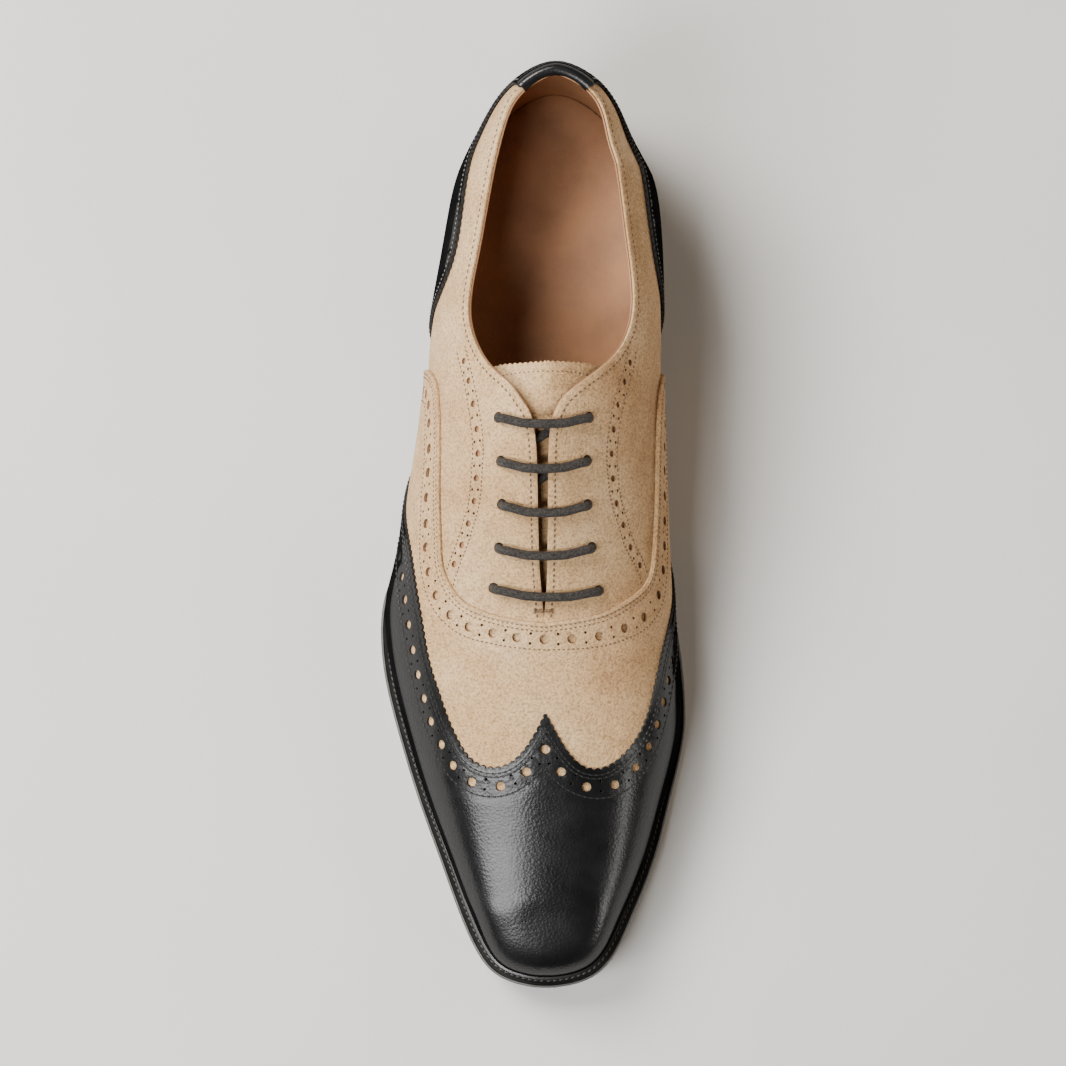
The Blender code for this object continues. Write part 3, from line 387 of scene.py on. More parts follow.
class Last:
    """The surface of the last, a grid of points for each side, read by walk and share.

    Walk runs round the foot: 0 toe tip, 1 end of the toe fan, 2 start of the heel fan, 3 heel back.
    Share runs down each profile: 0 on the ridge, 1 at the feather line.
    """

    WALKS = 900
    SHARES = 160
    # The share from which the surface's normal turns level, and the one that counts as the feather
    LEVEL_SHARE = 0.86
    FOOT_SHARE = 0.9999
    # How far the top of the heel's back is set rearward, from where in y and z on, and over what run
    LEAN = 0.0022
    LEAN_START = (0.100, 0.050)
    LEAN_RUN = (0.050, 0.028)
    # along, crest, place, outer out, outer up, outer roof, inner out, inner up, inner roof
    SECTIONS: Table = (
        (0.900, 0.285, 0.082, 0.02, 0.80, 0.78, 0.02, 0.80, 0.78),
        (0.830, 0.370, 0.080, 0.05, 0.72, 0.72, 0.04, 0.75, 0.74),
        (0.740, 0.480, 0.078, 0.09, 0.62, 0.64, 0.09, 0.68, 0.68),
        (0.650, 0.590, 0.074, 0.12, 0.54, 0.58, 0.12, 0.60, 0.62),
        (0.560, 0.720, 0.066, 0.20, 0.52, 0.54, 0.25, 0.54, 0.58),
        (0.470, 0.845, 0.060, 0.28, 0.50, 0.50, 0.41, 0.50, 0.54),
        (0.380, 0.910, 0.066, 0.27, 0.50, 0.46, 0.42, 0.50, 0.50),
        (0.290, 0.850, 0.090, 0.30, 0.52, 0.36, 0.33, 0.50, 0.42),
        (0.200, 0.830, 0.120, 0.21, 0.52, 0.32, 0.21, 0.54, 0.36),
        (0.113, 0.880, 0.140, 0.17, 0.54, 0.34, 0.14, 0.54, 0.36),
    )
    TOE: Table = ((0.0, 0.03, 0.84, 0.76), (0.5, 0.02, 0.82, 0.80))
    HEEL: Table = ((2.5, 0.08, 0.62, 0.66), (3.0, 0.05, 0.66, 0.92))

    def __init__(self, shape: SoleShape) -> None:
        """Works out the surface on both sides.

        Args:
            shape: the sole that the last stands on.
        """
        half = SIZES.ball_width / 2
        table = np.array(self.SECTIONS)
        places = 1 + (SIZES.toe_centre - table[:, 0]) / (SIZES.toe_centre - SIZES.heel_centre)
        self.crest = spline(places, table[:, 1] * SIZES.instep_height)
        self.ridge = spline(places, table[:, 2] * half)
        toe, heel = np.array(self.TOE), np.array(self.HEEL)
        self.walks = np.linspace(0, 3, self.WALKS)
        self.grid: dict[int, np.ndarray] = {}
        self.normal: dict[int, np.ndarray] = {}
        self.length: dict[int, np.ndarray] = {}
        feather = shape.feather()
        for side, first in ((Side.OUTER, 3), (Side.INNER, 6)):
            knots = np.concatenate([-toe[:0:-1, 0], toe[:, 0], places, heel[:, 0]])
            middle = table[:, first:first + 3]
            columns = np.concatenate([toe[:0:-1, 1:], toe[:, 1:], middle, heel[:, 1:]])
            form = spline(knots, columns)(self.walks)
            self._fill(int(side), feather, form[:, 0] * half, form[:, 1], form[:, 2])

    def frame(self, walk: np.ndarray, side: int) -> tuple[np.ndarray, np.ndarray]:
        """Where a profile starts on the ridge and which way it runs, both seen from above.

        Args:
            walk: the places round the foot.
            side: outer or inner.

        Returns:
            The ridge points and the directions.
        """
        walk = np.asarray(walk, float)
        middle = np.clip(walk, 1, 2)
        along = SIZES.toe_centre + (middle - 1) * (SIZES.heel_centre - SIZES.toe_centre)
        centre = np.stack([self.ridge(middle), SIZES.along_y(along)], -1)
        angle = (np.clip(walk, 0, 1) + np.clip(walk - 2, 0, 1)) * math.pi / 2
        return centre, np.stack([int(side) * np.sin(angle), -np.cos(angle)], -1)

    def _fill(self, side: int, feather: np.ndarray, out: np.ndarray, up: np.ndarray,
              roof: np.ndarray) -> None:
        """Works out one side: a cubic profile from the feather up over the wall to the ridge.

        Args:
            side: outer or inner.
            feather: the feather line.
            out: how far the wall swells beyond the feather, at each walk.
            up: how high that is, as a share of the profile's height.
            roof: how far the roof runs out level, as a share of the reach.
        """
        centre, direction = self.frame(self.walks, side)
        reach = np.array([self._reach(feather, c, d) for c, d in zip(centre, direction)])
        foot_z = SIZES.feather_z(centre[:, 1] + direction[:, 1] * reach)
        top_z = SIZES.feather_z(centre[:, 1]) + self.crest(np.clip(self.walks, 1, 2))
        step = 0.01
        rise = self.crest(1 + step) - self.crest(1)
        run = step * (SIZES.toe_centre - SIZES.heel_centre) * SIZES.sole_length
        fall = (rise / run) * np.where(self.walks < 1, direction[:, 1], 0.0)
        share = np.linspace(0, 1, self.SHARES)

        def at(radius: np.ndarray, z: np.ndarray) -> np.ndarray:
            """Points at a radius from the ridge."""
            return np.concatenate([centre + direction * radius[:, None], z[:, None]], 1)[:, None, :]
        foot = at(reach, foot_z)
        wall = at(reach + out, foot_z + up * (top_z - foot_z))
        over = at(roof * reach, top_z + fall * roof * reach)
        ridge = at(reach * 0, top_z)
        u = share[None, :, None]
        line = (1 - u) ** 3 * ridge + 3 * u * (1 - u) ** 2 * over
        line = line + 3 * u ** 2 * (1 - u) * wall + u ** 3 * foot
        chord = np.linalg.norm(np.diff(line, axis=1), axis=2)
        arc = np.concatenate([np.zeros((len(line), 1)), np.cumsum(chord, 1)], 1)
        even = [[np.interp(share, a / a[-1], p[:, c]) for c in range(3)] for a, p in zip(arc, line)]
        grid = np.array(even).transpose(0, 2, 1)
        normal = np.cross(np.gradient(grid, axis=1), np.gradient(grid, axis=0)) * side
        normal[:, 0] = normal[:, 1]
        self.grid[side] = grid
        self.normal[side] = unit(normal)
        self.length[side] = arc[:, -1]

    @staticmethod
    def _reach(outline: np.ndarray, centre: np.ndarray, direction: np.ndarray) -> float:
        """How far a ray from the ridge goes until it meets the outline.

        Args:
            outline: the closed outline.
            centre: where the ray starts.
            direction: which way it goes.

        Returns:
            The distance.
        """
        edge = np.roll(outline, -1, axis=0) - outline
        off = outline - centre
        cross = direction[0] * edge[:, 1] - direction[1] * edge[:, 0]
        cross = np.where(np.abs(cross) < 1e-12, 1e-12, cross)
        distance = (off[:, 0] * edge[:, 1] - off[:, 1] * edge[:, 0]) / cross
        along = (off[:, 0] * direction[1] - off[:, 1] * direction[0]) / cross
        return float(distance[(distance > 0) & (along >= 0) & (along < 1)].min())

    def chart(self, walk: np.ndarray, share: np.ndarray, side: int) -> np.ndarray:
        """The flat place of a point: the shell laid out flat, each profile at its full length.

        Args:
            walk: the place round the foot.
            share: the part of the way from the ridge to the feather.
            side: outer or inner.

        Returns:
            The flat points.
        """
        centre, direction = self.frame(walk, side)
        arc = np.interp(walk, self.walks, self.length[int(side)]) * share
        return centre + direction * np.asarray(arc)[..., None]

    def locate(self, flat: np.ndarray) -> tuple[np.ndarray, np.ndarray, np.ndarray]:
        """Side, walk and share of flat places.

        Args:
            flat: the places.

        Returns:
            The three values for each place.
        """
        flat = np.atleast_2d(flat)
        toe_y, heel_y = SIZES.along_y(SIZES.toe_centre), SIZES.along_y(SIZES.heel_centre)
        middle = 1 + (flat[:, 1] - toe_y) / (heel_y - toe_y)
        off = flat[:, 0] - self.ridge(np.clip(middle, 1, 2))
        side = np.where(off < 0, -1, 1)
        toe = np.arctan2(np.abs(off), toe_y - flat[:, 1]) / (math.pi / 2)
        heel = 2 + np.arctan2(flat[:, 1] - heel_y, np.abs(off)) / (math.pi / 2)
        walk = np.where(middle < 1, toe, np.where(middle > 2, heel, middle))
        beyond = np.maximum(np.maximum(toe_y - flat[:, 1], flat[:, 1] - heel_y), 0)
        outer, inner = (np.interp(walk, self.walks, self.length[each]) for each in Side)
        return side, walk, np.clip(np.hypot(off, beyond) / np.where(side < 0, outer, inner), 0, 1)

    def place(self, flat: np.ndarray, lift: Union[float, np.ndarray] = 0.0) -> np.ndarray:
        """Points of the surface over flat places, raised along the surface's normal.

        Args:
            flat: the places.
            lift: how far they are raised.

        Returns:
            The points in space.
        """
        side, walk, share = self.locate(flat)
        row = np.clip(walk / 3 * (self.WALKS - 1), 0, self.WALKS - 1.000001)
        column = np.clip(share * (self.SHARES - 1), 0, self.SHARES - 1.000001)
        i, j = row.astype(int), column.astype(int)
        fi, fj = (row - i)[:, None], (column - j)[:, None]
        points, normals = np.zeros((len(walk), 3)), np.zeros((len(walk), 3))
        for each in Side:
            mine = side == each
            for result, grid in ((points, self.grid[each]), (normals, self.normal[each])):
                a, b, u, v = i[mine], j[mine], fi[mine], fj[mine]
                near = (1 - v) * grid[a, b] + v * grid[a, b + 1]
                far = (1 - v) * grid[a + 1, b] + v * grid[a + 1, b + 1]
                result[mine] = (1 - u) * near + u * far
        normals[:, 2] *= 1 - smoothstep(np.clip((share - self.LEVEL_SHARE) / (1 - self.LEVEL_SHARE), 0, 1))
        points = points + unit(normals) * np.broadcast_to(lift, len(walk))[:, None]
        foot = share > self.FOOT_SHARE
        points[foot, 2] = SIZES.feather_z(points[foot, 1])
        back, high = (smoothstep(np.clip((points[:, axis] - start) / run, 0, 1))
                      for axis, start, run in zip((1, 2), self.LEAN_START, self.LEAN_RUN))
        points[:, 1] += self.LEAN * back * high
        return points

    def seam(self, table: Table, side: int) -> np.ndarray:
        """Flat points evenly along the smooth seam through a table.

        Args:
            table: walk and share of a few of its points.
            side: outer or inner.

        Returns:
            The seam, which ends where the table ends.
        """
        rows = np.array(table)
        corners = self.chart(rows[:, 0], rows[:, 1], side)
        length = np.linalg.norm(np.diff(corners, axis=0), axis=1).sum()
        line = smooth_line(corners, max(4, int(round(length / SEAM_STEP)) + 1))
        line[0], line[-1] = corners[0], corners[-1]
        return line

    def across(self, outer: Table, inner: Table) -> np.ndarray:
        """A seam from its outer end over the shoe's middle to its inner end."""
        one, other = self.seam(outer, Side.OUTER), self.seam(inner, Side.INNER)
        return np.concatenate([one[::-1], other[1:]])


class Seams:
    """Every seam, edge and hole of the upper: walk and share."""

    OPENING_OUTER: Table = (
        (1.385, 0.000), (1.422, 0.009), (1.459, 0.015), (1.536, 0.018), (1.589, 0.021), (1.623, 0.029),
        (1.653, 0.050), (1.670, 0.083), (1.689, 0.126), (1.706, 0.186), (1.727, 0.261), (1.757, 0.338),
        (1.788, 0.385), (1.816, 0.405), (1.865, 0.408), (1.922, 0.387), (1.975, 0.356), (2.220, 0.341),
        (2.600, 0.366), (3.000, 0.378),
    )
    OPENING_INNER: Table = (
        (1.385, 0.000), (1.422, 0.012), (1.459, 0.017), (1.536, 0.021), (1.589, 0.021), (1.629, 0.026),
        (1.651, 0.039), (1.671, 0.068), (1.688, 0.117), (1.706, 0.189), (1.728, 0.281), (1.757, 0.371),
        (1.787, 0.419), (1.814, 0.435), (1.868, 0.422), (1.920, 0.388), (1.974, 0.356), (2.220, 0.352),
        (2.600, 0.368), (3.000, 0.378),
    )
    VAMP_OUTER: Table = (
        (1.379, 0.000), (1.385, 0.130), (1.394, 0.226), (1.405, 0.302), (1.420, 0.353), (1.436, 0.387),
        (1.461, 0.421), (1.503, 0.438), (1.562, 0.452), (1.626, 0.475), (1.678, 0.517), (1.707, 0.562),
        (1.724, 0.650), (1.733, 0.790), (1.738, 1.000),
    )
    VAMP_INNER: Table = (
        (1.379, 0.000), (1.385, 0.134), (1.395, 0.260), (1.411, 0.366), (1.429, 0.458), (1.449, 0.509),
        (1.478, 0.530), (1.519, 0.541), (1.573, 0.548), (1.628, 0.561), (1.682, 0.599), (1.712, 0.665),
        (1.726, 0.770), (1.733, 0.880), (1.738, 1.000),
    )
    WING_OUTER: Table = (
        (1.257, 0.000), (1.246, 0.017), (1.213, 0.086), (1.188, 0.186), (1.183, 0.284), (1.195, 0.382),
        (1.222, 0.437), (1.250, 0.470), (1.290, 0.498), (1.332, 0.521), (1.380, 0.527), (1.414, 0.538),
        (1.450, 0.572), (1.492, 0.635), (1.540, 0.745), (1.590, 0.880), (1.630, 1.000),
    )
    WING_INNER: Table = (
        (1.257, 0.000), (1.246, 0.020), (1.214, 0.084), (1.186, 0.181), (1.181, 0.265), (1.188, 0.340),
        (1.215, 0.436), (1.249, 0.496), (1.277, 0.528), (1.304, 0.556), (1.332, 0.587), (1.361, 0.630),
        (1.390, 0.690), (1.430, 0.785), (1.490, 0.895), (1.560, 1.000),
    )
    COUNTER_OUTER: Table = (
        (2.700, 0.370), (2.695, 0.425), (2.680, 0.495), (2.640, 0.545), (2.540, 0.575), (2.380, 0.580),
        (2.150, 0.568), (2.000, 0.556), (1.940, 0.555), (1.903, 0.562), (1.877, 0.579), (1.851, 0.615),
        (1.826, 0.680), (1.802, 0.785), (1.778, 0.905), (1.760, 1.000),
    )
    COUNTER_INNER: Table = (
        (2.700, 0.370), (2.695, 0.425), (2.680, 0.495), (2.640, 0.545), (2.540, 0.573), (2.380, 0.576),
        (2.150, 0.563), (2.000, 0.557), (1.955, 0.564), (1.925, 0.582), (1.900, 0.607), (1.875, 0.641),
        (1.848, 0.692), (1.820, 0.772), (1.786, 0.890), (1.762, 1.000),
    )
    TONGUE: Table = (
        (1.722, 0.000), (1.722, 0.180), (1.714, 0.300), (1.660, 0.325), (1.560, 0.325),
        (1.440, 0.330), (1.390, 0.315), (1.362, 0.250), (1.350, 0.130), (1.348, 0.000),
    )
    LACE_OUTER: Table = ((1.649, 0.176), (1.592, 0.159), (1.536, 0.155), (1.479, 0.172), (1.426, 0.197))
    LACE_INNER: Table = ((1.649, 0.176), (1.593, 0.170), (1.536, 0.177), (1.480, 0.201), (1.423, 0.239))
    # The punched rows, from the middle outward
    VAMP_HOLES_OUTER: Table = (
        (1.358, 0.000), (1.361, 0.109), (1.367, 0.206), (1.376, 0.305), (1.393, 0.384), (1.420, 0.446),
        (1.452, 0.489), (1.486, 0.517), (1.518, 0.523), (1.553, 0.529), (1.586, 0.531), (1.618, 0.546),
        (1.653, 0.577), (1.678, 0.604), (1.695, 0.655), (1.702, 0.722), (1.705, 0.792), (1.707, 0.862),
        (1.709, 0.930),
    )
    VAMP_HOLES_INNER: Table = (
        (1.358, 0.000), (1.359, 0.118), (1.363, 0.239), (1.374, 0.361), (1.390, 0.471), (1.422, 0.574),
        (1.457, 0.615), (1.490, 0.628), (1.524, 0.632), (1.558, 0.636), (1.592, 0.642), (1.624, 0.655),
        (1.655, 0.678), (1.680, 0.715), (1.695, 0.778), (1.702, 0.848), (1.706, 0.918),
    )
    WING_HOLES_OUTER: Table = (
        (1.209, 0.000), (1.178, 0.098), (1.158, 0.240), (1.164, 0.395), (1.187, 0.487), (1.216, 0.533),
        (1.248, 0.572), (1.280, 0.588), (1.313, 0.597), (1.347, 0.602), (1.382, 0.605), (1.416, 0.617),
        (1.447, 0.655), (1.476, 0.710), (1.502, 0.770), (1.527, 0.835), (1.551, 0.898),
    )
    WING_HOLES_INNER: Table = (
        (1.209, 0.000), (1.178, 0.080), (1.157, 0.218), (1.160, 0.370), (1.184, 0.471), (1.213, 0.530),
        (1.243, 0.566), (1.274, 0.605), (1.304, 0.645), (1.332, 0.692), (1.360, 0.744), (1.390, 0.800),
        (1.420, 0.855), (1.451, 0.907),
    )
    FACING_OUTER: Table = (
        (1.730, 0.382), (1.702, 0.339), (1.670, 0.302), (1.636, 0.273), (1.604, 0.261), (1.572, 0.265),
        (1.542, 0.274), (1.513, 0.303), (1.485, 0.336), (1.460, 0.370),
    )
    FACING_INNER: Table = (
        (1.728, 0.394), (1.701, 0.353), (1.669, 0.314), (1.636, 0.290), (1.604, 0.281), (1.572, 0.290),
        (1.540, 0.311), (1.512, 0.350), (1.483, 0.395), (1.460, 0.454),
    )
    # Where the stitch lines beside the facing's rows start and end, beyond the holes
    FACING_TOP = (1.748, 0.412)
    FACING_FEET = {Side.OUTER: (1.425, 0.408), Side.INNER: (1.425, 0.510)}


@dataclass(frozen=True)
class Crease:
    """A soft trough or ridge across the upper.

    walk is where its middle lies, outer and inner how far it runs down each side in shares, height how
    far it rises (below zero for a trough), width its half width and bow how far its ends run back, both
    in walk.
    """
    walk: float
    outer: float
    inner: float
    height: float
    width: float
    bow: float

    def rise(self, side: np.ndarray, walk: np.ndarray, share: np.ndarray) -> np.ndarray:
        """How far the crease lifts each point.

        Args:
            side: the side of each point.
            walk: its walk.
            share: its share.

        Returns:
            The lifts.
        """
        run = share / np.where(side < 0, self.outer, self.inner)
        middle = self.walk + self.bow * run ** 2
        fade = np.clip(1 - run ** 2, 0, 1) ** 1.5
        return self.height * np.exp(-((walk - middle) / self.width) ** 2) * fade


@dataclass
class Line:
    """A polyline of the net.

    points are flat, relief is how far the leather stands up along it (below zero where it is pressed in),
    drop how far an edge along it rounds down, and hole says whether it is the rim of a hole.
    """
    points: np.ndarray
    closed: bool = False
    relief: float = 0.0
    drop: float = 0.0
    hole: bool = False


@dataclass(frozen=True)
class Hole:
    """A punched hole: flat centre and radius."""
    x: float
    y: float
    radius: float
    sides: int

    def ring(self) -> np.ndarray:
        """The hole's outline."""
        angle = (np.arange(self.sides) + 0.5) / self.sides * 2 * math.pi
        radius = self.radius / math.cos(math.pi / self.sides)
        return np.array([self.x, self.y]) + radius * np.stack([np.cos(angle), np.sin(angle)], 1)


@dataclass
class Net:
    """One fine net of triangles over the whole last, with every seam and hole among its edges."""
    last: Last
    along: float = 2.1 * MM
    across: float = 1.9 * MM
    feather_step: float = 1.8 * MM
    merge_mm: float = 0.02
    lace_hole: float = 1.75 * MM
    big_hole: float = 1.55 * MM
    facing_hole: float = 1.05 * MM
    pin_hole: float = 0.45 * MM
    pin_apart: float = 1.65 * MM
    facing_pins_closer: float = 0.75
    edge_drop: float = 0.35 * MM
    hole_drop: float = 0.12 * MM
    fine_drop: float = 0.05 * MM
    groove: float = 0.13 * MM
    bead_at: float = 0.6 * MM
    bead_high: float = 0.22 * MM
    bead_groove: float = 0.20 * MM
    tooth_pitch: float = 2.45 * MM
    tooth_depth: float = 0.75 * MM
    tooth_nodes: int = 6
    pink_pitch: float = 2.3 * MM
    pink_depth: float = 0.7 * MM
    collar_rim: float = 0.8 * MM
    collar_row: float = 2.2 * MM
    vamp_rows: tuple[float, ...] = (1.2 * MM, 2.5 * MM)
    wing_rows: tuple[float, ...] = (1.8 * MM, 3.0 * MM)
    vamp_between: tuple[float, ...] = (1.85 * MM, 3.2 * MM)
    wing_between: tuple[float, ...] = (2.4 * MM, 3.7 * MM)
    vamp_low_row: float = 3.4 * MM
    wing_low_row: float = 3.3 * MM
    counter_row: float = 1.8 * MM
    facing_row: float = 2.3 * MM
    creases: tuple[Crease, ...] = (
        Crease(1.318, 0.42, 0.42, -0.45 * MM, 0.026, 0.020),
        Crease(1.285, 0.50, 0.50, 0.25 * MM, 0.024, 0.015),
        Crease(1.405, 0.60, 0.70, -0.25 * MM, 0.020, 0.040),
        Crease(1.470, 0.62, 0.72, -0.30 * MM, 0.028, 0.060),
        Crease(1.760, 0.95, 0.95, -0.50 * MM, 0.030, -0.050),
        Crease(1.900, 0.90, 0.90, -0.40 * MM, 0.040, -0.060),
    )
    lines: list[Line] = field(default_factory=list)

    def __post_init__(self) -> None:
        """Lays out the seams and the holes, and makes the net from them."""
        last = self.last
        self.toe = last.chart(np.array(0.0), np.array(0.9), Side.OUTER)
        self.heel = last.chart(np.array(3.0), np.array(0.9), Side.OUTER)
        self.opening = self.ring_of(Seams.OPENING_OUTER, Seams.OPENING_INNER)
        self.tongue = self.ring_of(Seams.TONGUE, Seams.TONGUE)
        self.vamp = last.across(Seams.VAMP_OUTER, Seams.VAMP_INNER)
        self.wing = last.across(Seams.WING_OUTER, Seams.WING_INNER)
        self.counters = [last.seam(table, side)
                         for table, side in zip((Seams.COUNTER_OUTER, Seams.COUNTER_INNER), Side)]
        for line in self.counters:
            apart = np.linalg.norm(self.opening - line[0], axis=1)
            line[0] = self.opening[np.argmin(apart)]
        self.wing_edge = self.gimp(self.wing, self.toe)
        self.counter_edges = [self.gimp(line, self.heel) for line in self.counters]
        self.lace_holes = self.punch(Seams.LACE_OUTER, Seams.LACE_INNER, self.lace_hole, 14)
        self.big_holes, self.pins = [], []
        for outer, inner in ((Seams.VAMP_HOLES_OUTER, Seams.VAMP_HOLES_INNER),
                             (Seams.WING_HOLES_OUTER, Seams.WING_HOLES_INNER)):
            self.big_holes += self.punch(outer, inner[1:], self.big_hole, 12)
            self.pins += self.pin_pairs(outer, inner, self.pin_apart)
        self.facing_holes = self.punch(Seams.FACING_OUTER, Seams.FACING_INNER, self.facing_hole, 10)
        self.pins += self.pin_pairs(Seams.FACING_OUTER, Seams.FACING_INNER,
                                    self.pin_apart * self.facing_pins_closer)
        self.lay_lines()
        self.triangulate()

    def ring_of(self, outer: Table, inner: Table) -> np.ndarray:
        """A closed line that runs down its outer half and back up its inner one."""
        one, other = self.last.seam(outer, Side.OUTER), self.last.seam(inner, Side.INNER)
        return np.concatenate([one, other[::-1][1:-1]])

    def gimp(self, line: np.ndarray, toward: np.ndarray) -> np.ndarray:
        """An edge cut in small rounded teeth.

        Args:
            line: the edge before cutting, flat.
            toward: a flat point inside the piece.

        Returns:
            The toothed edge, with its two ends where they were.
        """
        step = 0.1 * MM
        smooth = even_line(line, step)
        teeth = int(round(step * (len(smooth) - 1) / self.tooth_pitch))
        count = teeth * self.tooth_nodes
        pick, index = np.linspace(0, len(smooth) - 1, count + 1), np.arange(len(smooth))
        normal = line_normals(smooth)
        sign = -np.sign(np.sum(normal * (toward - smooth)))
        phase = np.arange(count + 1) / self.tooth_nodes * math.pi
        height = self.tooth_depth * (np.abs(np.sin(phase)) ** 0.75 - 0.35)
        edge = columns_at(pick, index, smooth) + columns_at(pick, index, normal) * (sign * height)[:, None]
        edge[0], edge[-1] = line[0], line[-1]
        return edge

    def halves(self, outer: Table, inner: Table) -> list[np.ndarray]:
        """The flat points of a row's outer half and of its inner half."""
        return [self.last.chart(*np.array(table).T, side) for table, side in zip((outer, inner), Side)]

    def punch(self, outer: Table, inner: Table, radius: float, sides: int) -> list[Hole]:
        """The holes of a row that lies on both sides of the shoe."""
        return [Hole(x, y, radius, sides) for flat in self.halves(outer, inner) for x, y in flat]

    def pin_pairs(self, outer: Table, inner: Table, apart: float) -> list[Hole]:
        """Two pinholes across the row between each pair of its holes.

        Args:
            outer: the row's outer half.
            inner: its inner half.
            apart: how far each pinhole lies from the row's middle.

        Returns:
            The pinholes.
        """
        pins = []
        for flat in self.halves(outer, inner):
            for a, b in zip(flat[:-1], flat[1:]):
                middle = (a + b) / 2
                ahead = (b - a) / np.linalg.norm(b - a)
                out = np.array([-ahead[1], ahead[0]]) * apart
                pins += [Hole(*point, self.pin_hole, 6) for point in (middle + out, middle - out)]
        return pins

    def lay_lines(self) -> None:
        """Lays every line of the net: edges, grooves of the stitch rows, holes and the feather."""
        toe, vamp, wing = self.toe, self.vamp, self.wing
        middle = self.opening.mean(0)
        closed = np.concatenate([self.opening, self.opening[:1]])
        vamp_holes = self.last.across(Seams.VAMP_HOLES_OUTER, Seams.VAMP_HOLES_INNER)
        wing_holes = self.last.across(Seams.WING_HOLES_OUTER, Seams.WING_HOLES_INNER)
        self.rows_at: dict[str, list[np.ndarray]] = {
            "collar": [offset_line(closed, self.collar_row, middle, away=True)],
            "vamp": [offset_line(vamp, apart, toe) for apart in self.vamp_rows],
            "wing": [offset_line(wing, apart, toe) for apart in self.wing_rows],
            "vamp_low": [offset_line(vamp_holes, self.vamp_low_row, toe)],
            "wing_low": [offset_line(wing_holes, self.wing_low_row, toe)],
            "counter": [offset_line(line, self.counter_row, self.heel) for line in self.counters],
            "facing": [],
        }
        for table, side in zip((Seams.FACING_OUTER, Seams.FACING_INNER), Side):
            line = self.last.seam((Seams.FACING_TOP, *table, Seams.FACING_FEET[side]), side)
            for away in (False, True):
                self.rows_at["facing"].append(offset_line(line, self.facing_row, middle, away))
        self.lines += [
            Line(self.opening, True, drop=self.edge_drop),
            Line(offset_line(closed, self.collar_rim, middle, away=True)),
            Line(vamp, drop=self.edge_drop),
            Line(offset_line(vamp, self.bead_at, toe), relief=self.bead_high),
            Line(offset_line(vamp, self.bead_at, toe, away=True), relief=-self.bead_groove),
            *(Line(offset_line(vamp, apart, toe)) for apart in self.vamp_between),
            Line(self.wing_edge, drop=self.fine_drop),
            *(Line(offset_line(wing, apart, toe)) for apart in self.wing_between),
            *(Line(edge, drop=self.fine_drop) for edge in self.counter_edges),
            *(Line(line, relief=-self.groove) for rows in self.rows_at.values() for line in rows),
            Line(self.pinked_tongue(), True),
        ]
        for holes, drop in ((self.big_holes + self.facing_holes + self.lace_holes, self.hole_drop),
                            (self.pins, self.fine_drop)):
            self.lines += [Line(hole.ring(), True, drop=drop, hole=True) for hole in holes]
        self.feather = self.feather_loop()
        self.lines.append(Line(self.feather, True))

    def pinked_tongue(self) -> np.ndarray:
        """The tongue's outline, with small waves along its top edge."""
        fine = even_line(np.concatenate([self.tongue, self.tongue[:1]]), 0.45 * MM)[:-1]
        normal = line_normals(fine)
        sign = np.sign(np.sum(normal * (fine - fine.mean(0))))
        near = np.clip((fine[:, 1] - (fine[:, 1].max() - 2.5 * MM)) / (1.0 * MM), 0, 1)
        wave = (np.abs(np.sin(fine[:, 0] / self.pink_pitch * math.pi)) - 0.5) * self.pink_depth
        self.tongue_edge = fine + normal * (sign * wave * near)[:, None]
        return self.tongue_edge

    def feather_loop(self) -> np.ndarray:
        """Nodes round the feather line, the outer side from the toe and the inner side back."""
        sides = []
        for side in Side:
            length = arc_length(self.last.grid[side][:, -1])
            even = np.linspace(0, length[-1], int(length[-1] / self.feather_step))
            walks = np.interp(even, length, self.last.walks)
            flat = self.last.chart(walks, np.ones(len(walks)), side)
            sides.append(flat if side < 0 else flat[::-1][1:-1])
        return np.concatenate(sides)

    def fill_nodes(self) -> np.ndarray:
        """Nodes between the lines: rows along the middle, rings round the two ends."""
        last = self.last
        nodes = []
        toe_y, heel_y = SIZES.along_y(SIZES.toe_centre), SIZES.along_y(SIZES.heel_centre)
        rows = int(round((heel_y - toe_y) / self.along))
        for side in Side:
            for k in range(rows + 1):
                walk = 1 + k / rows
                length = np.interp(walk, last.walks, last.length[side])
                arcs = (np.arange(int(length / self.across)) + (0.5 if k % 2 else 0.0)) * self.across
                nodes.append(last.chart(np.full(len(arcs), walk), arcs / length, side))
            for start in (0.0, 2.0):
                length = float(np.interp(start + 0.5, last.walks, last.length[side]))
                middle = last.grid[side][int(last.WALKS * (start + 0.5) / 3)]
                centre, _ = last.frame(np.array(start + 0.5), side)
                for ring, arc in enumerate(np.arange(self.across, length, self.across)):
                    share = arc / length
                    place = middle[int(share * (last.SHARES - 1)), :2]
                    radius = min(np.linalg.norm(place - centre), np.linalg.norm(middle[-1, :2] - centre))
                    count = max(1, int(round(math.pi / 2 * radius / self.along)))
                    walks = start + (np.arange(count + 1) + (0.5 if ring % 2 else 0.0)) / count
                    walks = walks[(walks > start + 0.01) & (walks < start + 0.99)]
                    nodes.append(last.chart(walks, np.full(len(walks), share), side))
        found = np.concatenate(nodes)
        keys = np.round(found / (self.across * 0.4)).astype(int)
        _, first = np.unique(keys, axis=0, return_index=True)
        return found[np.sort(first)]

